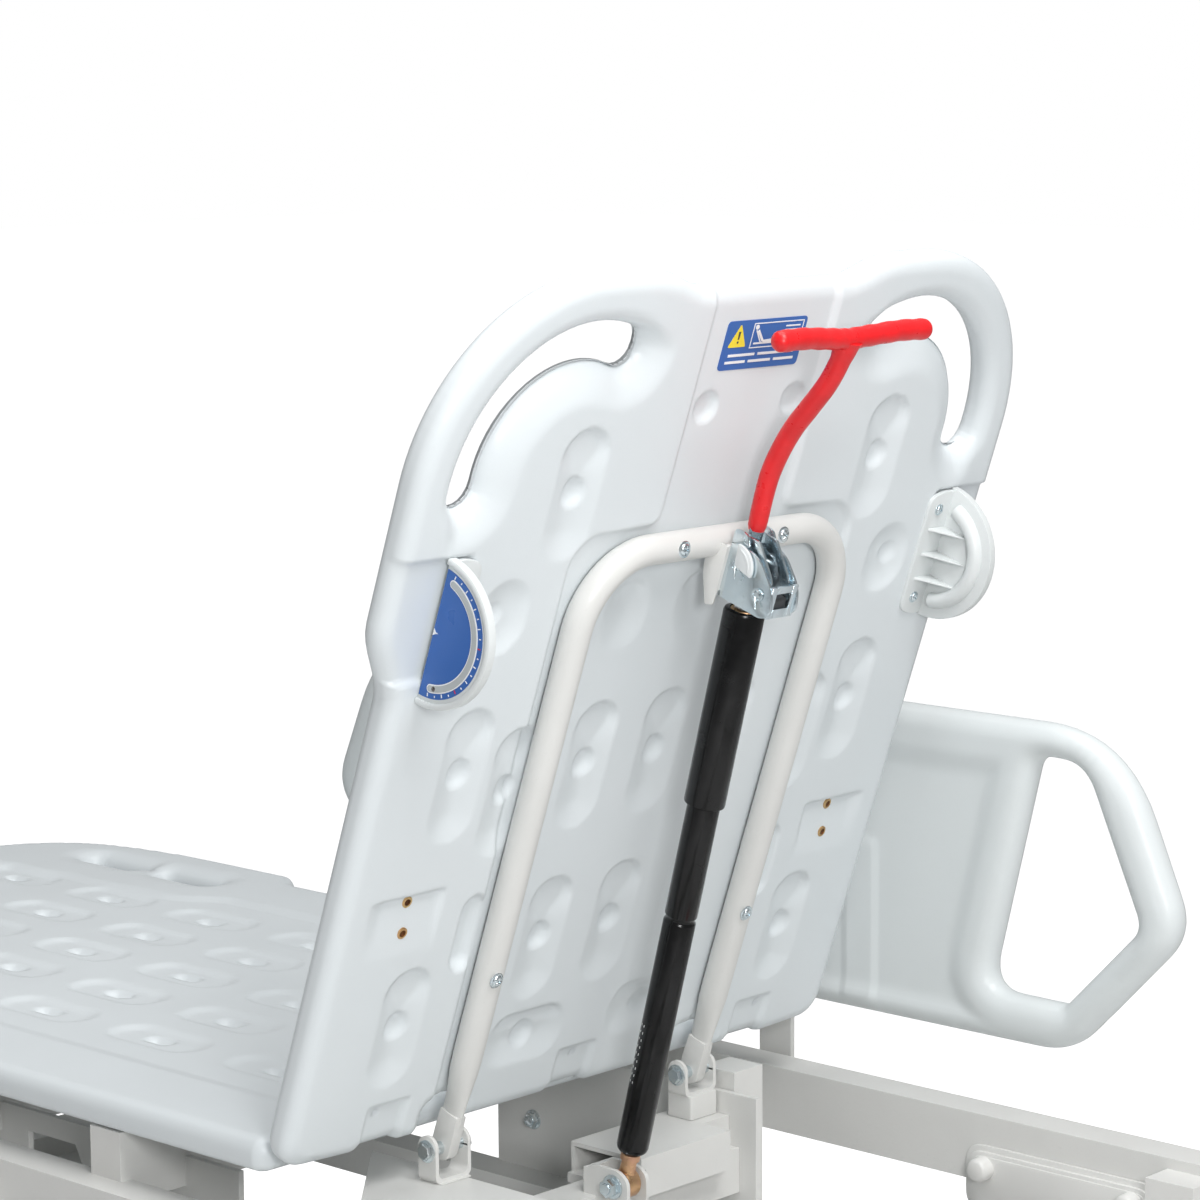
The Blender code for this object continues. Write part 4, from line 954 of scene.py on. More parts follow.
def bracket_and_lever():
    # the painted saddle welded under the crossbar
    saddle = []
    wall = rounded([(0.530, 0.0), (0.556, 0.0), (0.556, 0.0204), (0.503, 0.0204), (0.500, 0.0120), (0.510, 0.0080)],
                   [0.010, 0.001, 0.001, 0.002, 0.002, 0.010])
    for y in (-0.0200, 0.0200):
        saddle.append(plate_of(wall, y - 0.0012, y + 0.0012))
    saddle.append(plate_of([(0.516, 0.0160), (0.556, 0.0160), (0.556, 0.0204), (0.516, 0.0204)], -0.0211, 0.0211))
    piece("tube_saddle", mesh_of(merged(*saddle), "tube_saddle"), PAINT, "backrest", ["bracket_arm"])

    # zinc channel whose cheeks carry the lever and the spring's head
    cheek = rounded([(0.5115, 0.0206), (0.5115, 0.070), (0.519, 0.0775), (0.538, 0.0740), (0.561, 0.0500),
                     (0.561, 0.0206)], [0.001, 0.006, 0.007, 0.012, 0.012, 0.001], 6)
    shapes = [plate_of(cheek, side * 0.0165 - 0.0014, side * 0.0165 + 0.0014) for _, side in SIDES]
    shapes.append(plate_of([(0.5115, 0.0206), (0.561, 0.0206), (0.561, 0.0234), (0.5115, 0.0234)],
                           -0.0166, 0.0166))
    # outer web with its window, across the cheeks' free end
    web = [plate_of([(0.513, 0.0715), (0.541, 0.0715), (0.541, 0.0738), (0.513, 0.0738)], -0.0166, -0.0095),
           plate_of([(0.513, 0.0715), (0.541, 0.0715), (0.541, 0.0738), (0.513, 0.0738)], 0.0095, 0.0166),
           plate_of([(0.513, 0.0715), (0.521, 0.0715), (0.521, 0.0738), (0.513, 0.0738)], -0.0100, 0.0100),
           plate_of([(0.535, 0.0715), (0.541, 0.0715), (0.541, 0.0738), (0.535, 0.0738)], -0.0100, 0.0100)]
    shapes += web
    # turned-up ear on each cheek
    for _, side in SIDES:
        shapes.append(plate_of(rounded([(0.559, 0.0206), (0.573, 0.0206), (0.573, 0.034), (0.562, 0.040)],
                                       [0.001, 0.004, 0.005, 0.003]), side * 0.0165 - 0.0014, side * 0.0165 + 0.0014))
    piece("zinc_channel", mesh_of(merged(*shapes), "zinc_channel"), ZINC, "backrest", ["spring_bracket"])

    # clevis pins with washers, split pins and their spread legs
    pins = []
    for t, n, radius in ((0.5300, 0.0610, 0.0031), (0.5450, 0.0330, 0.0026)):
        pins.append(turned([(-0.0215, 0.0), (-0.0215, radius * 0.8), (-0.0205, radius), (0.0205, radius),
                            (0.0215, radius * 0.8), (0.0215, 0.0)], 20, aimed(on_back(t, 0.0, n), ACROSS)))
        pins.append(turned([(-0.0200, 0.0), (-0.0200, radius * 1.9), (-0.0184, radius * 1.9), (-0.0180, 0.0)], 22,
                           aimed(on_back(t, 0.0, n), ACROSS)))
        pins.append(turned([(0.0180, 0.0), (0.0184, radius * 1.9), (0.0198, radius * 1.9), (0.0198, 0.0)], 22,
                           aimed(on_back(t, 0.0, n), ACROSS)))
        eye = [on_back(t + 0.0048 * sin(a), -0.0214, n + 0.0030 * cos(a)) for a in
               (2 * pi * k / 14 for k in range(13))]
        pins.append(tube(eye, 0.0007, 8))
        pins.append(tube([on_back(t - 0.001, -0.0214, n), on_back(t - 0.006, -0.0222, n + 0.002),
                          on_back(t - 0.010, -0.0240, n + 0.005)], 0.0007, 8))
    piece("clevis_pins", mesh_of(merged(*pins), "clevis_pins"), SCREW, "backrest")

    # the white cam that shows how far the lever has turned
    fan = [(0.0, 0.0)] + [(0.0190 * cos(radians(a)), 0.0190 * sin(radians(a))) for a in range(-4, 101, 8)]
    cam = plate_of(rounded([(0.5445 + a, 0.0325 + b) for a, b in fan], [0.004] + [0.0005] * (len(fan) - 1)),
                   -0.0226, -0.0195, 0.0008)
    slot_fan = [(0.5445 + r * cos(radians(a)), 0.0325 + r * sin(radians(a)))
                for r, a in [(0.0162, a) for a in range(10, 91, 8)] + [(0.0140, a) for a in range(90, 9, -8)]]
    cam = merged(cam, plate_of(slot_fan, -0.0232, -0.0224, 0.0003))
    piece("cam_plate", mesh_of(cam, "cam_plate"), COVER, "backrest")
    buffer = plate_of(rounded([(0.5135, 0.0560), (0.5135, 0.0712), (0.5290, 0.0712), (0.5290, 0.0560)], 0.003),
                      -0.0085, 0.0085, 0.0012)
    piece("rubber_buffer", mesh_of(buffer, "rubber_buffer"), DARK, "backrest")

    # forked zinc lever: two cheeks, a bridge and the flat tail that goes up into the grip
    side_plate = rounded([(0.522, 0.053), (0.522, 0.068), (0.542, 0.068), (0.5695, 0.044), (0.5695, 0.0272),
                          (0.5590, 0.0272), (0.554, 0.0440), (0.546, 0.0535)],
                         [0.007, 0.007, 0.007, 0.004, 0.001, 0.001, 0.004, 0.004])
    lever = [plate_of(side_plate, side * 0.01075 - 0.0012, side * 0.01075 + 0.0012) for _, side in SIDES]
    lever.append(plate_of([(0.5605, 0.0270), (0.5695, 0.0270), (0.5695, 0.0295), (0.5605, 0.0295)], -0.0118, 0.0118))
    tail = []
    for t, n in ((0.561, 0.0283), (0.572, 0.0283), (0.584, 0.0280), (0.596, 0.0272), (0.606, 0.0268)):
        tail.append((t, n))
    strip = bmesh.new()
    rings = []
    for i, (t, n) in enumerate(tail):
        rings.append([strip.verts.new(on_back(t, y, n + d)) for y, d in
                      ((-0.0075, -0.0013), (-0.0068, 0.0015), (0.0068, 0.0015), (0.0075, -0.0013))])
    for one, two in zip(rings, rings[1:]):
        for k in range(4):
            strip.faces.new((one[k], one[(k + 1) % 4], two[(k + 1) % 4], two[k]))
    strip.faces.new(rings[0])
    strip.faces.new(list(reversed(rings[-1])))
    lever.append(strip)
    piece("zinc_lever", mesh_of(merged(*lever), "zinc_lever"), ZINC, "release_lever", ["release_lever"])

    # dipped grip: a bar bowed across, its stem melted into it
    def spline(points, steps=7):
        points = [Vector(p) for p in points]
        result = []
        for i in range(len(points) - 1):
            p0, p1 = points[max(i - 1, 0)], points[i]
            p2, p3 = points[i + 1], points[min(i + 2, len(points) - 1)]
            for k in range(steps):
                f = k / steps
                result.append(0.5 * ((2 * p1) + (p2 - p0) * f + (2 * p0 - 5 * p1 + 4 * p2 - p3) * f * f
                                     + (3 * p1 - p0 - 3 * p2 + p3) * f ** 3))
        return result + [points[-1]]

    stem = spline([on_back(t, 0.0, n) for t, n in
                   ((0.5725, 0.0283), (0.600, 0.0268), (0.622, 0.0270), (0.645, 0.031), (0.668, 0.038), (0.690, 0.048),
                    (0.715, 0.059), (0.738, 0.065), (0.757, 0.067))], 5)
    stem_r = [0.0080 + 0.0006 * min(i / 12, 1) for i in range(len(stem))]
    stem_r[0], stem_r[1] = 0.0068, 0.0079
    for i in range(1, 6):
        stem_r[-i] += 0.0007 * (6 - i)
    stem_tube = tube(stem, stem_r, 28)
    bar = spline([on_back(t, y, n) for t, y, n in
                  ((0.762, 0.090, 0.0710), (0.762, 0.060, 0.0700), (0.759, 0.025, 0.0680), (0.757, 0.0, 0.0670),
                   (0.759, -0.025, 0.0680), (0.762, -0.060, 0.0700), (0.762, -0.090, 0.0710))], 6)
    ends = []
    for centre, ahead, reverse in ((bar[0], bar[1], True), (bar[-1], bar[-2], False)):
        out = (centre - ahead).normalized()
        cap = [centre + out * 0.0074 * sin(radians(a)) for a in range(15, 91, 15)]
        sizes = [max(0.0088 * cos(radians(a)), 0.0008) for a in range(15, 91, 15)]
        ends.append((list(reversed(cap)), list(reversed(sizes))) if reverse else (cap, sizes))
    wobble = [0.0088 + 0.0003 * sin(i * 1.7) for i in range(len(bar))]
    path = ends[0][0] + bar + ends[1][0]
    sizes = ends[0][1] + wobble + ends[1][1]
    bar_tube = tube(path, sizes, 28)
    grip = mesh_of(merged(stem_tube, bar_tube), "t_grip")
    piece("t_grip", grip, RED, "release_lever", ["release_grip"], smooth=60)


bracket_and_lever()


# ---- gas spring -----------------------------------------------------------------------------------------
def gas_spring():
    lower = HINGE + Vector((0.062, 0.0, -0.057))
    upper = HINGE + Vector((0.212, 0.0, 0.507))
    along = (upper - lower).normalized()
    place = aimed(lower, along)
    # align local Y of the turned frame across the trolley
    frame_m = Matrix.Identity(4)
    side = ACROSS
    third = along.cross(side).normalized()
    for column, axis in enumerate((third, side, along)):
        for row in range(3):
            frame_m[row][column] = axis[row]
    frame_m = Matrix.Translation(lower) @ frame_m

    eye = slab_of(rounded([(0.0132 * cos(a), 0.0132 * sin(a)) for a in (2 * pi * k / 40 for k in range(40))], 0.0001, 1),
                  -0.0072, 0.0072, bevel=0.0010)
    eye.transform(Matrix.Rotation(pi / 2, 4, "X"))
    neck = turned([(0.009, 0.0), (0.009, 0.0078), (0.014, 0.0072), (0.020, 0.0068), (0.0235, 0.0068), (0.0240, 0.0088),
                   (0.0300, 0.0088), (0.0306, 0.0080), (0.0317, 0.0)], 28)
    shape = merged(eye, neck)
    shape.transform(frame_m)
    piece("lower_eye", mesh_of(shape, "lower_eye"), COPPER, "spring_body", ["spring_eye"])

    r = 0.0142
    profile = [(0.0320, 0.0), (0.0320, r - 0.0035), (0.0328, r - 0.0022), (0.0345, r - 0.0008), (0.0375, r)]
    profile += [(0.2535, r), (0.2545, r - 0.0004), (0.2555, r - 0.0012), (0.2570, r - 0.0014), (0.2585, r - 0.0012),
                (0.2595, r - 0.0004), (0.2605, r)]
    profile += [(0.4340, r), (0.4360, r - 0.0010), (0.4360, 0.0)]
    shape = turned(profile, 56, frame_m)
    piece("cylinder", mesh_of(shape, "cylinder"), BLACK, "spring_body", ["spring_cylinder"], smooth=35)

    # two rows of plain dashes where the maker prints the force and the date
    dashes = []
    facing = radians(-52)
    for row, count in ((-0.0034, 9), (0.0044, 7)):
        for k in range(count):
            z = 0.100 + 0.0068 * k + (0.0 if row < 0 else 0.003)
            spot = facing + row / r
            corners = [(0.0026, 0.0011), (-0.0026, 0.0011), (-0.0026, -0.0011), (0.0026, -0.0011)]
            dash = bmesh.new()
            low = [dash.verts.new(((r - 0.0004) * cos(spot + a / r), (r - 0.0004) * sin(spot + a / r), z + b))
                   for a, b in corners]
            high = [dash.verts.new(((r + 0.00012) * cos(spot + a / r), (r + 0.00012) * sin(spot + a / r), z + b))
                    for a, b in corners]
            dash.faces.new(low)
            dash.faces.new(high)
            for i in range(4):
                j = (i + 1) % 4
                dash.faces.new((low[i], low[j], high[j], high[i]))
            dashes.append(dash)
    shape = merged(*dashes)
    shape.transform(frame_m)
    piece("cylinder_marks", mesh_of(shape, "cylinder_marks"), WHITE, "spring_body", smooth=0)

    s = 0.0178
    profile = [(0.3635, r + 0.0004), (0.3630, s - 0.0006), (0.3640, s), (0.5370, s), (0.5392, s - 0.0009),
               (0.5400, s - 0.0024), (0.5400, 0.0135), (0.5375, 0.0125), (0.5375, 0.0),
               (0.5300, 0.0), (0.5300, r + 0.0004)]
    profile = [(0.3640, 0.0150), (0.3634, 0.0168), (0.3640, s - 0.0003), (0.3652, s), (0.5370, s), (0.5392, s - 0.0009),
               (0.5400, s - 0.0024), (0.5400, 0.0128), (0.5368, 0.0122), (0.5368, 0.0)]
    shape = turned(profile, 56, frame_m)
    piece("sleeve", mesh_of(shape, "sleeve"), BLACK, "spring_piston", ["spring_sleeve"], smooth=35)
    collar = turned([(0.5350, 0.0), (0.5350, 0.0121), (0.5395, 0.0121), (0.5402, 0.0113), (0.5402, 0.0072),
                     (0.5390, 0.0060), (0.5390, 0.0)], 40, frame_m)
    piece("sleeve_collar", mesh_of(collar, "sleeve_collar"), COPPER, "spring_piston")
    head = [turned([(0.402, 0.0), (0.402, 0.005), (0.556, 0.005), (0.556, 0.0)], 24),
            turned([(0.5408, 0.0), (0.5408, 0.0092), (0.5412, 0.0098), (0.5470, 0.0098), (0.5478, 0.0090), (0.5478, 0.0)], 6)]
    block = slab_of(rounded([(-0.0080, -0.0080), (0.0080, -0.0080), (0.0080, 0.0080), (-0.0080, 0.0080)], 0.0024),
                    0.5500, 0.5795, bevel=0.0014)
    head.append(block)
    shape = merged(*head)
    shape.transform(frame_m)
    piece("piston_rod", mesh_of(shape, "piston_rod"), STEEL, "spring_piston", ["spring_rod"])


gas_spring()


# ---- angle gauges -----------------------------------------------------------------------------------------
GAUGE_T, GAUGE_N, GAUGE_R = 0.504, -0.007, 0.0620
GAUGE_FACE = 0.3215
TRACK_R = 0.0452
DIAL_R = 0.0535


def angle_gauge(name, side):
    seat = BOARD_BACK + 0.0003

    def at(t, n, y):
        """y grows outwards from the trolley's middle on either side."""
        return on_back(GAUGE_T + t, side * y, GAUGE_N + n)

    def flat(points, low, high, bevel=0.0006, segments=2):
        shape = slab_of(points, low, high, bevel=bevel, segments=segments)
        for vert in shape.verts:
            t, n, y = vert.co
            vert.co = at(t, n, y)
        return shape

    def dee(radius, cut):
        """A half disc's outline from a chord `cut` behind the centre."""
        first = np.degrees(np.arcsin(cut / radius))
        return [(radius * cos(radians(a)), radius * sin(radians(a)))
                for a in np.linspace(first, 180 - first, 41)]

    low = seat - GAUGE_N
    housing = [flat(rounded(dee(GAUGE_R, low), 0.0004, 1), GAUGE_FACE - 0.0075, GAUGE_FACE - 0.0012, 0.0010)]
    # raised rim round the dial
    rim = bmesh.new()
    rings = []
    section = [(GAUGE_R - 0.0052, -0.0016), (GAUGE_R - 0.0050, 0.0004), (GAUGE_R - 0.0040, 0.0010),
               (GAUGE_R - 0.0014, 0.0010), (GAUGE_R - 0.0002, 0.0002), (GAUGE_R, -0.0014), (GAUGE_R, -0.0070),
               (GAUGE_R - 0.0052, -0.0070)]
    first = np.degrees(np.arcsin(low / GAUGE_R))
    for a in np.linspace(first, 180 - first, 45):
        rings.append([rim.verts.new(at(r * cos(radians(a)), r * sin(radians(a)), GAUGE_FACE + h)) for r, h in section])
    for one, two in zip(rings, rings[1:]):
        for k in range(len(section)):
            j = (k + 1) % len(section)
            rim.faces.new((one[k], one[j], two[j], two[k]))
    rim.faces.new(rings[0])
    rim.faces.new(list(reversed(rings[-1])))
    housing.append(rim)
    # round-backed channel that holds the ball, seen from the inner side
    bulge = [at(TRACK_R * cos(radians(a)), TRACK_R * sin(radians(a)), GAUGE_FACE - 0.0075)
             for a in np.linspace(14, 166, 40)]
    housing.append(tube(bulge, 0.0072, 20))
    # flange along the board, with softened corners
    flange = slab_of(rounded([(-0.0545, 0.284), (0.0545, 0.284), (0.0600, 0.300), (0.0600, 0.3155), (-0.0600, 0.3155),
                              (-0.0600, 0.300)], [0.010, 0.010, 0.012, 0.002, 0.002, 0.012]), 0.0, 0.0042,
                     bevel=0.0009)
    for vert in flange.verts:
        t, y, n = vert.co
        vert.co = on_back(GAUGE_T + t, side * y, seat - 0.0014 + n)
    housing.append(flange)
    # three tapered ribs from the flange up the dial's back
    for t in (-0.024, 0.0, 0.024):
        top = 0.033 if t else 0.036
        rib = bmesh.new()
        loop = [(0.2905, 0.0026), (GAUGE_FACE - 0.0070, 0.0026), (GAUGE_FACE - 0.0070, top), (0.3060, top - 0.012),
                (0.2960, 0.0085)]
        thin = []
        for thick in (-1, 1):
            thin.append([rib.verts.new(on_back(GAUGE_T + t + thick * (0.0016 if k < 2 else 0.0009), side * y,
                                               seat + n)) for k, (y, n) in enumerate(loop)])
        rib.faces.new(thin[0])
        rib.faces.new(list(reversed(thin[1])))
        for k in range(len(loop)):
            j = (k + 1) % len(loop)
            rib.faces.new((thin[0][k], thin[1][k], thin[1][j], thin[0][j]))
        bmesh.ops.recalc_face_normals(rib, faces=rib.faces)
        bmesh.ops.bevel(rib, geom=rib.edges[:], offset=0.0005, segments=2, affect="EDGES", profile=0.5,
                        clamp_overlap=True)
        housing.append(rib)
    piece(f"gauge_housing_{name}", mesh_of(merged(*housing), f"gauge_housing_{name}"), GAUGE, "backrest",
          [f"angle_gauge_{name}"])

    face = GAUGE_FACE - 0.0013
    dial = flat(dee(DIAL_R, low + 0.0010), face, face + 0.0006, 0.0)
    piece(f"gauge_dial_{name}", mesh_of(dial, f"gauge_dial_{name}"), BLUE, "backrest", smooth=0)

    def race(half, a0=12, a1=166):
        """Outline of the ball's curved channel, with round ends."""
        points = [((TRACK_R + half) * cos(radians(a)), (TRACK_R + half) * sin(radians(a)))
                  for a in np.linspace(a0, a1, 41)]
        points += [(TRACK_R * cos(radians(a1)) + half * cos(radians(a1 + b)),
                    TRACK_R * sin(radians(a1)) + half * sin(radians(a1 + b))) for b in range(20, 180, 20)]
        points += [((TRACK_R - half) * cos(radians(a)), (TRACK_R - half) * sin(radians(a)))
                   for a in np.linspace(a1, a0, 41)]
        points += [(TRACK_R * cos(radians(a0)) + half * cos(radians(a0 + b)),
                    TRACK_R * sin(radians(a0)) + half * sin(radians(a0 + b))) for b in range(200, 360, 20)]
        return points

    white, red = [flat(race(0.0035), face + 0.0006, face + 0.0010, 0.0)], []
    window = flat(race(0.0025), face + 0.0010, face + 0.0014, 0.0)
    piece(f"gauge_window_{name}", mesh_of(window, f"gauge_window_{name}"), CHANNEL, "backrest", smooth=0)

    def tick(angle, r0, r1, half, where):
        c, s_ = cos(radians(angle)), sin(radians(angle))
        corners = [(r0 * c - half * s_, r0 * s_ + half * c), (r1 * c - half * s_, r1 * s_ + half * c),
                   (r1 * c + half * s_, r1 * s_ - half * c), (r0 * c + half * s_, r0 * s_ - half * c)]
        where.append(flat(corners, face + 0.0006, face + 0.0010, 0.0))

    for k in range(19):
        angle = 11 + k * 158 / 18
        long = 0.0012 if k % 2 else 0.0
        tick(angle, DIAL_R - 0.0042 + long, DIAL_R - 0.0014, 0.0004, red if k in (8, 14) else white)
    chord = low + 0.0014
    white.append(flat([(-0.0026, chord), (0.0002, chord), (0.0030, chord), (0.0008, chord + 0.0022),
                       (0.0004, chord + 0.0050), (-0.0008, chord + 0.0022)], face + 0.0006, face + 0.0010, 0.0))
    piece(f"gauge_scale_{name}", mesh_of(merged(*white), f"gauge_scale_{name}"), WHITE, "backrest", smooth=0)
    piece(f"gauge_marks_{name}", mesh_of(merged(*red), f"gauge_marks_{name}"), TICK_RED, "backrest", smooth=0)
    down = 1.5 * pi - BACK
    shape = bmesh.new()
    bmesh.ops.create_uvsphere(shape, u_segments=20, v_segments=12, radius=0.0042)
    shape.transform(Matrix.Translation(at(TRACK_R * cos(down + 0.0), -TRACK_R * sin(down), GAUGE_FACE - 0.0035)))
    piece(f"gauge_bead_{name}", mesh_of(shape, f"gauge_bead_{name}"), BALL, f"gauge_ball_{name}",
          [f"gauge_ball_{name}"], smooth=180)
    # two screws in the flange
    screws = [pan_head(0.0042, aimed(on_back(GAUGE_T + t, side * 0.2985, seat + 0.0026), BEHIND, 0.5 + t * 20))
              for t in (-0.0430, 0.0430)]
    piece(f"gauge_screws_{name}", mesh_of(merged(*screws), f"gauge_screws_{name}"), SCREW, "backrest")


for gauge_name, gauge_side in SIDES:
    angle_gauge(gauge_name, gauge_side)


# ---- small fittings on the board -----------------------------------------------------------------------
def board_fittings():
    shapes = []
    for _, side in SIDES:
        for t in (0.2520, 0.2245):
            n = BOARD_BACK - 0.0055 * (t - 0.205) / 0.055
            out = (BEHIND * 0.93 + ACROSS * side * 0.06).normalized()
            ring = [(-0.006, 0.0), (-0.006, 0.0052), (0.0006, 0.0052), (0.0011, 0.0046), (0.0011, 0.0031),
                    (-0.0035, 0.0029), (-0.0035, 0.0)]
            shapes.append(turned(ring, 26, aimed(on_back(t, side * 0.2685, n), out)))
    piece("threaded_inserts", mesh_of(merged(*shapes), "threaded_inserts"), INSERT, "backrest")
    # dark plugs set in the inserts: painted shade where the threaded holes fall into shadow
    bore_shades = []
    for _, side in SIDES:
        for t in (0.2520, 0.2245):
            n = BOARD_BACK - 0.0055 * (t - 0.205) / 0.055
            bore_shades.append(turned([(-0.004, 0.0), (-0.004, 0.0033), (0.0002, 0.0033), (0.0005, 0.0026), (0.0001, 0.0)], 20,
                                aimed(on_back(t, side * 0.2685, n), BEHIND)))
    piece("insert_bore_shades", mesh_of(merged(*bore_shades), "insert_bore_shades"), BORE_SHADE, "backrest")

    # generic label: a blue plate with a yellow triangle and a reclining figure, no wording
    n = BOARD_BACK - 0.0045

    def flat(points, low, high, bevel=0.0):
        shape = slab_of(points, low, high, bevel=bevel)
        for vert in shape.verts:
            y, t, h = vert.co
            vert.co = on_back(0.7225 + t, -0.004 + y, n + h)
        return shape

    plate = flat(rounded([(-0.050, -0.0215), (0.050, -0.0215), (0.050, 0.0215), (-0.050, 0.0215)], 0.0045),
                 0.0, 0.0005)
    piece("label_plate", mesh_of(plate, "label_plate"), BLUE, "backrest", smooth=0)
    yellow = flat(rounded([(-0.0445, -0.0015), (-0.0225, -0.0015), (-0.0335, 0.0185)], 0.0020), 0.0005, 0.0008)
    piece("label_triangle", mesh_of(yellow, "label_triangle"), YELLOW, "backrest", smooth=0)
    marks = []
    frame_line = [(-0.017, -0.0035), (0.046, -0.0035), (0.046, 0.0185), (-0.017, 0.0185)]
    inner = [(-0.0162, -0.0027), (0.0452, -0.0027), (0.0452, 0.0177), (-0.0162, 0.0177)]
    for k in range(4):
        j = (k + 1) % 4
        marks.append(flat([frame_line[k], frame_line[j], inner[j], inner[k]], 0.0005, 0.0008))

    def stroke(x0, y0, x1, y1, half):
        dx, dy = x1 - x0, y1 - y0
        size = hypot(dx, dy)
        ox, oy = -dy / size * half, dx / size * half
        marks.append(flat([(x0 - ox, y0 - oy), (x1 - ox, y1 - oy), (x1 + ox, y1 + oy), (x0 + ox, y0 + oy)],
                          0.0005, 0.0008))

    for line in ((-0.013, 0.0005, 0.018, 0.0005, 0.0007), (-0.002, 0.0018, 0.016, 0.0030, 0.0012),
                 (-0.010, 0.0118, -0.002, 0.0024, 0.0012), (-0.0125, 0.0120, -0.004, 0.0005, 0.0006),
                 (0.024, 0.0140, 0.042, 0.0140, 0.0006), (0.024, 0.0105, 0.040, 0.0105, 0.0006),
                 (0.024, 0.0070, 0.042, 0.0070, 0.0006)):
        stroke(*line)
    marks.append(flat([(-0.0125 + 0.0022 * cos(a), 0.0148 + 0.0022 * sin(a))
                       for a in (2 * pi * k / 16 for k in range(16))], 0.0005, 0.0008))
    # two rows of plain bars stand for the label's lines of wording
    for x0, x1, y in ((-0.041, -0.008, -0.0088), (-0.004, 0.041, -0.0088), (-0.043, -0.018, -0.0148),
                      (-0.014, 0.014, -0.0148), (0.018, 0.043, -0.0148)):
        stroke(x0, y, x1, y, 0.0011)
    piece("label_marks", mesh_of(merged(*marks), "label_marks"), WHITE, "backrest", smooth=0)
    exclamation = [flat([(-0.0343, 0.0052), (-0.0327, 0.0052), (-0.0323, 0.0120), (-0.0347, 0.0120)], 0.0008, 0.0010),
                   flat([(-0.0335 + 0.0011 * cos(a), 0.0028 + 0.0011 * sin(a))
                         for a in (2 * pi * k / 12 for k in range(12))], 0.0008, 0.0010)]
    piece("label_mark_dark", mesh_of(merged(*exclamation), "label_mark_dark"), DARK, "backrest", smooth=0)


board_fittings()


def deck_fittings():
    """Accessory plates with their raised rims and pegs, and the nuts on the spring's web."""
    for name, side in SIDES:
        face = 0.323 - 0.0003

        def at(x, z, depth):
            return Vector((HINGE.x + x, side * (face - depth), HINGE.z + z))

        def layer(points, low, high, bevel):
            shape = slab_of(points, low, high, bevel=bevel)
            for vert in shape.verts:
                x, z, depth = vert.co
                vert.co = at(x, z, depth)
            return shape

        outline = rounded([(0.194, -0.128), (0.404, -0.128), (0.404, -0.064), (0.194, -0.064)], 0.020, 8)
        smaller = rounded([(0.199, -0.123), (0.399, -0.123), (0.399, -0.069), (0.199, -0.069)], 0.016, 8)
        shapes = [layer(outline, 0.0, 0.0035, 0.0008), layer(smaller, 0.0030, 0.0068, 0.0016)]
        groove = rounded([(0.203, -0.119), (0.395, -0.119), (0.395, -0.073), (0.203, -0.073)], 0.013, 8)
        shapes.append(layer(groove, 0.0060, 0.0080, 0.0010))
        for x in (0.218, 0.380):
            peg = turned([(0.006, 0.0), (0.006, 0.0112), (0.0185, 0.0108), (0.0210, 0.0098), (0.0220, 0.0080),
                          (0.0224, 0.0)], 32)
            for vert in peg.verts:
                a, b, depth = vert.co
                vert.co = at(x + a, -0.084 + b, depth)
            shapes.append(peg)
        piece(f"tube_plate_{name}", mesh_of(merged(*shapes), f"tube_plate_{name}"), PAINT, "deck",
              [f"accessory_plate_{name}"])
    nuts = []
    for x, y, z in ((-0.222, 0.180, -0.094), (-0.100, 0.180, -0.094), (0.048, 0.0238, -0.098), (-0.335, -0.262, -0.052),
                    (-0.245, -0.262, -0.052)):
        spot = Matrix.Translation(HINGE + Vector((x, y, z))) @ Matrix.Rotation(pi / 2, 4, "X")
        nuts.append(turned([(-0.001, 0.0), (-0.001, 0.0098), (0.0012, 0.0096), (0.0016, 0.0088), (0.0016, 0.0)], 28, spot))
        nuts.append(bolt_head(0.0078, 0.0066, 6, spot))
        nuts.append(turned([(0.004, 0.0), (0.004, 0.0054), (0.0082, 0.0052), (0.0088, 0.0044), (0.0088, 0.0)], 24, spot))
    piece("web_nuts", mesh_of(merged(*nuts), "web_nuts"), SCREW, "deck")


deck_fittings()


# ---- carried-over CAD nodes -------------------------------------------------------------------------------
def finish_nodes():
    paint = ["base_frame", "deck_frame", "spring_cross_member"]
    paint += [f"castor_fork_{e}_{s}" for e, _ in ENDS for s, _ in SIDES]
    paint += [f"rail_hinge_{s}_{e}" for e, _ in ENDS for s, _ in SIDES]
    paint += [f"rail_arm_{s}_{e}" for e, _ in ENDS for s, _ in SIDES]
    for name in paint:
        soften(name, PAINT, 0.0016 if "frame" in name else 0.0010)
    soften("spring_bolt", ZINC, 0.0007)
    for end, _ in ENDS:
        soften(f"column_lower_{end}", COVER, 0.0015)
        soften(f"column_upper_{end}", STEEL, 0.0012)
        soften(f"brake_pedal_{end}", RED, 0.0030)
        for side, _ in SIDES:
            soften(f"bumper_{end}_{side}", RUBBER, 0.0020)
            soften(f"castor_tyre_{end}_{side}", RUBBER, 0.0040, 3)
            soften(f"castor_hub_{end}_{side}", COVER, 0.0015)
    for side, _ in SIDES:
        soften(f"pump_pedal_{side}", DARK, 0.0025)
    soften("base_cover", COVER, 0.0030, 3)


finish_nodes()


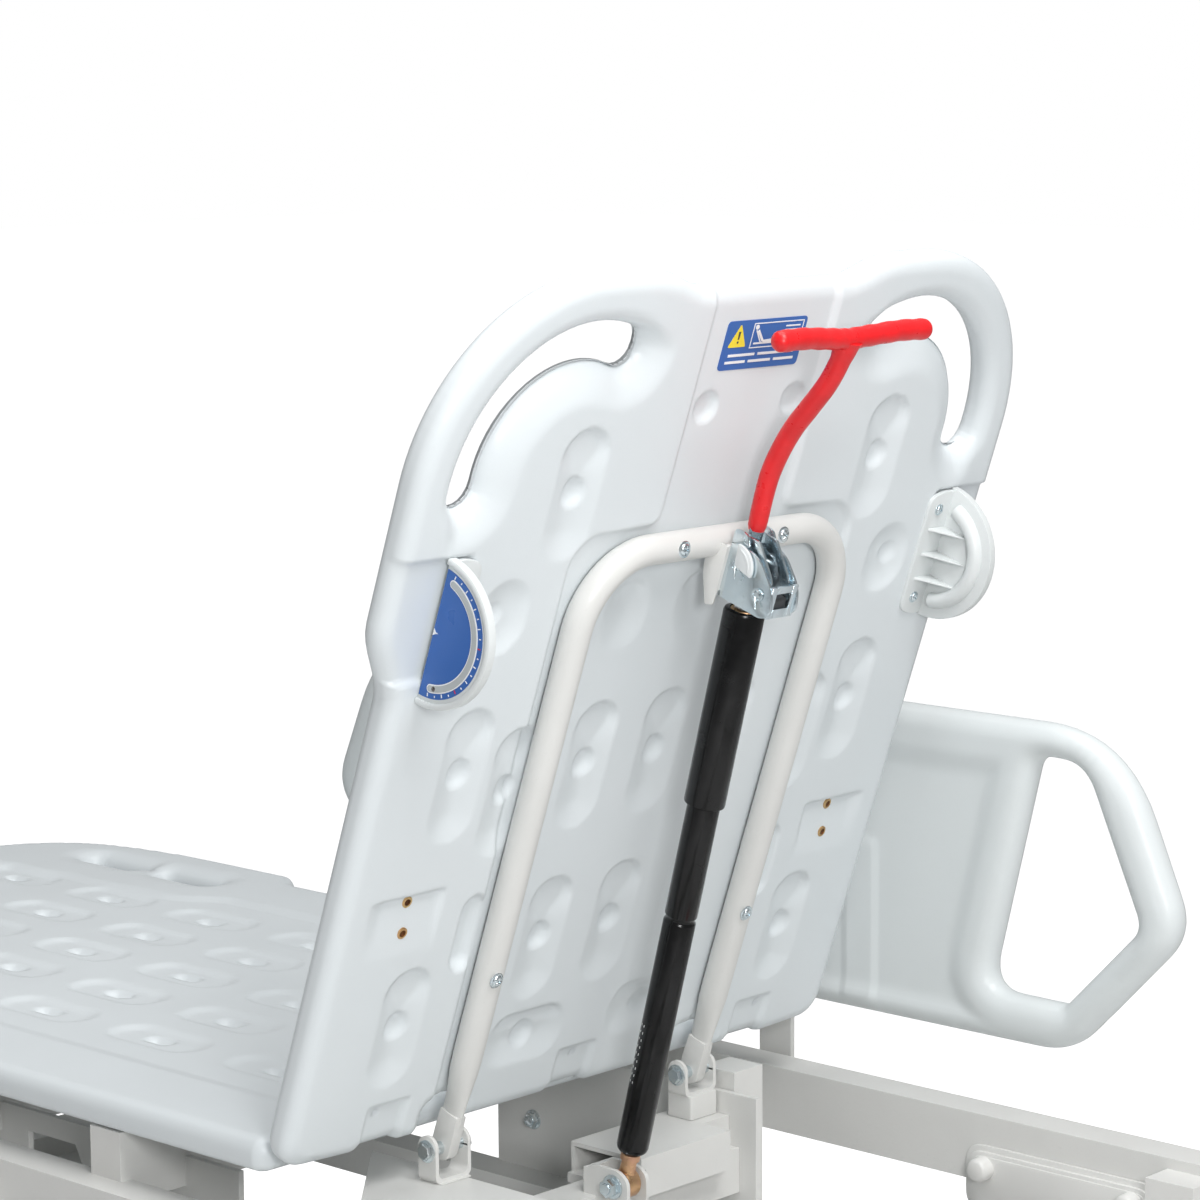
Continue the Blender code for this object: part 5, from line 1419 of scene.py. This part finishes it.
# ---- stage, light and finish ----------------------------------------------------------------------------------
def studio():
    """Seamless pale floor, one key light near the camera's right shoulder, an overhead softbox and a bright sky."""
    shape = bmesh.new()
    bmesh.ops.create_grid(shape, x_segments=1, y_segments=1, size=30.0)
    floor_mesh = bpy.data.meshes.new("floor")
    shape.to_mesh(floor_mesh)
    shape.free()
    floor = bpy.data.objects.new("floor", floor_mesh)
    bpy.context.scene.collection.objects.link(floor)
    s = Shading("floor_paper", (0.90, 0.90, 0.90), 0.8)
    s.mix_colour(s.remap(s.noise(2.0, 2.0), 0.3, 0.7, 0.0, 1.0), (0.885, 0.885, 0.885))
    s.shader.inputs["Specular IOR Level"].default_value = 0.1
    s.shader.inputs["Emission Color"].default_value = (1.0, 1.0, 1.0, 1.0)
    # the floor reads as white paper without throwing more light up at the trolley
    seen = s.new("ShaderNodeLightPath").outputs["Is Camera Ray"]
    s.links.new(s.remap(seen, 0.0, 1.0, 0.0, 0.8), s.shader.inputs["Emission Strength"])
    floor_mesh.materials.append(s.material)

    def area(name, place, target, size, power, colour=(1.0, 1.0, 1.0)):
        light = bpy.data.lights.new(name, "AREA")
        light.shape = "SQUARE"
        light.size = size
        light.energy = power
        light.color = colour
        holder = bpy.data.objects.new(name, light)
        place = Vector(place)
        look = (Vector(target) - place).to_track_quat("-Z", "Y").to_matrix().to_4x4()
        holder.matrix_world = Matrix.Translation(place) @ look
        bpy.context.scene.collection.objects.link(holder)

    toward = Vector((0.769, -0.571, 0.285)).normalized()
    area("key", HINGE + toward * 3.2 + Vector((0, 0, 0.2)), HINGE + Vector((0, 0, 0.25)), 0.6, 36.0)
    area("front_top", HINGE + Vector((1.5, -0.5, 2.3)), HINGE + Vector((0.1, 0, 0.3)), 1.1, 38.0)
    area("overhead", (0.2, 0.1, 3.6), (0.1, 0.0, 0.7), 2.2, 38.0)
    world = bpy.data.worlds.new("sky")
    bpy.context.scene.world = world
    world.use_nodes = True
    tree = world.node_tree
    sky = tree.nodes["Background"]
    sky.inputs["Color"].default_value = (1.0, 1.0, 1.0, 1.0)
    path = tree.nodes.new("ShaderNodeLightPath")
    strength = tree.nodes.new("ShaderNodeMapRange")
    for key, value in (("From Min", 0.0), ("From Max", 1.0), ("To Min", 0.31), ("To Max", 1.0)):
        strength.inputs[key].default_value = value
    tree.links.new(path.outputs["Is Camera Ray"], strength.inputs["Value"])
    tree.links.new(strength.outputs["Result"], sky.inputs["Strength"])


studio()
bpy.context.scene.view_settings.view_transform = "Standard"
bpy.context.scene.view_settings.look = "None"
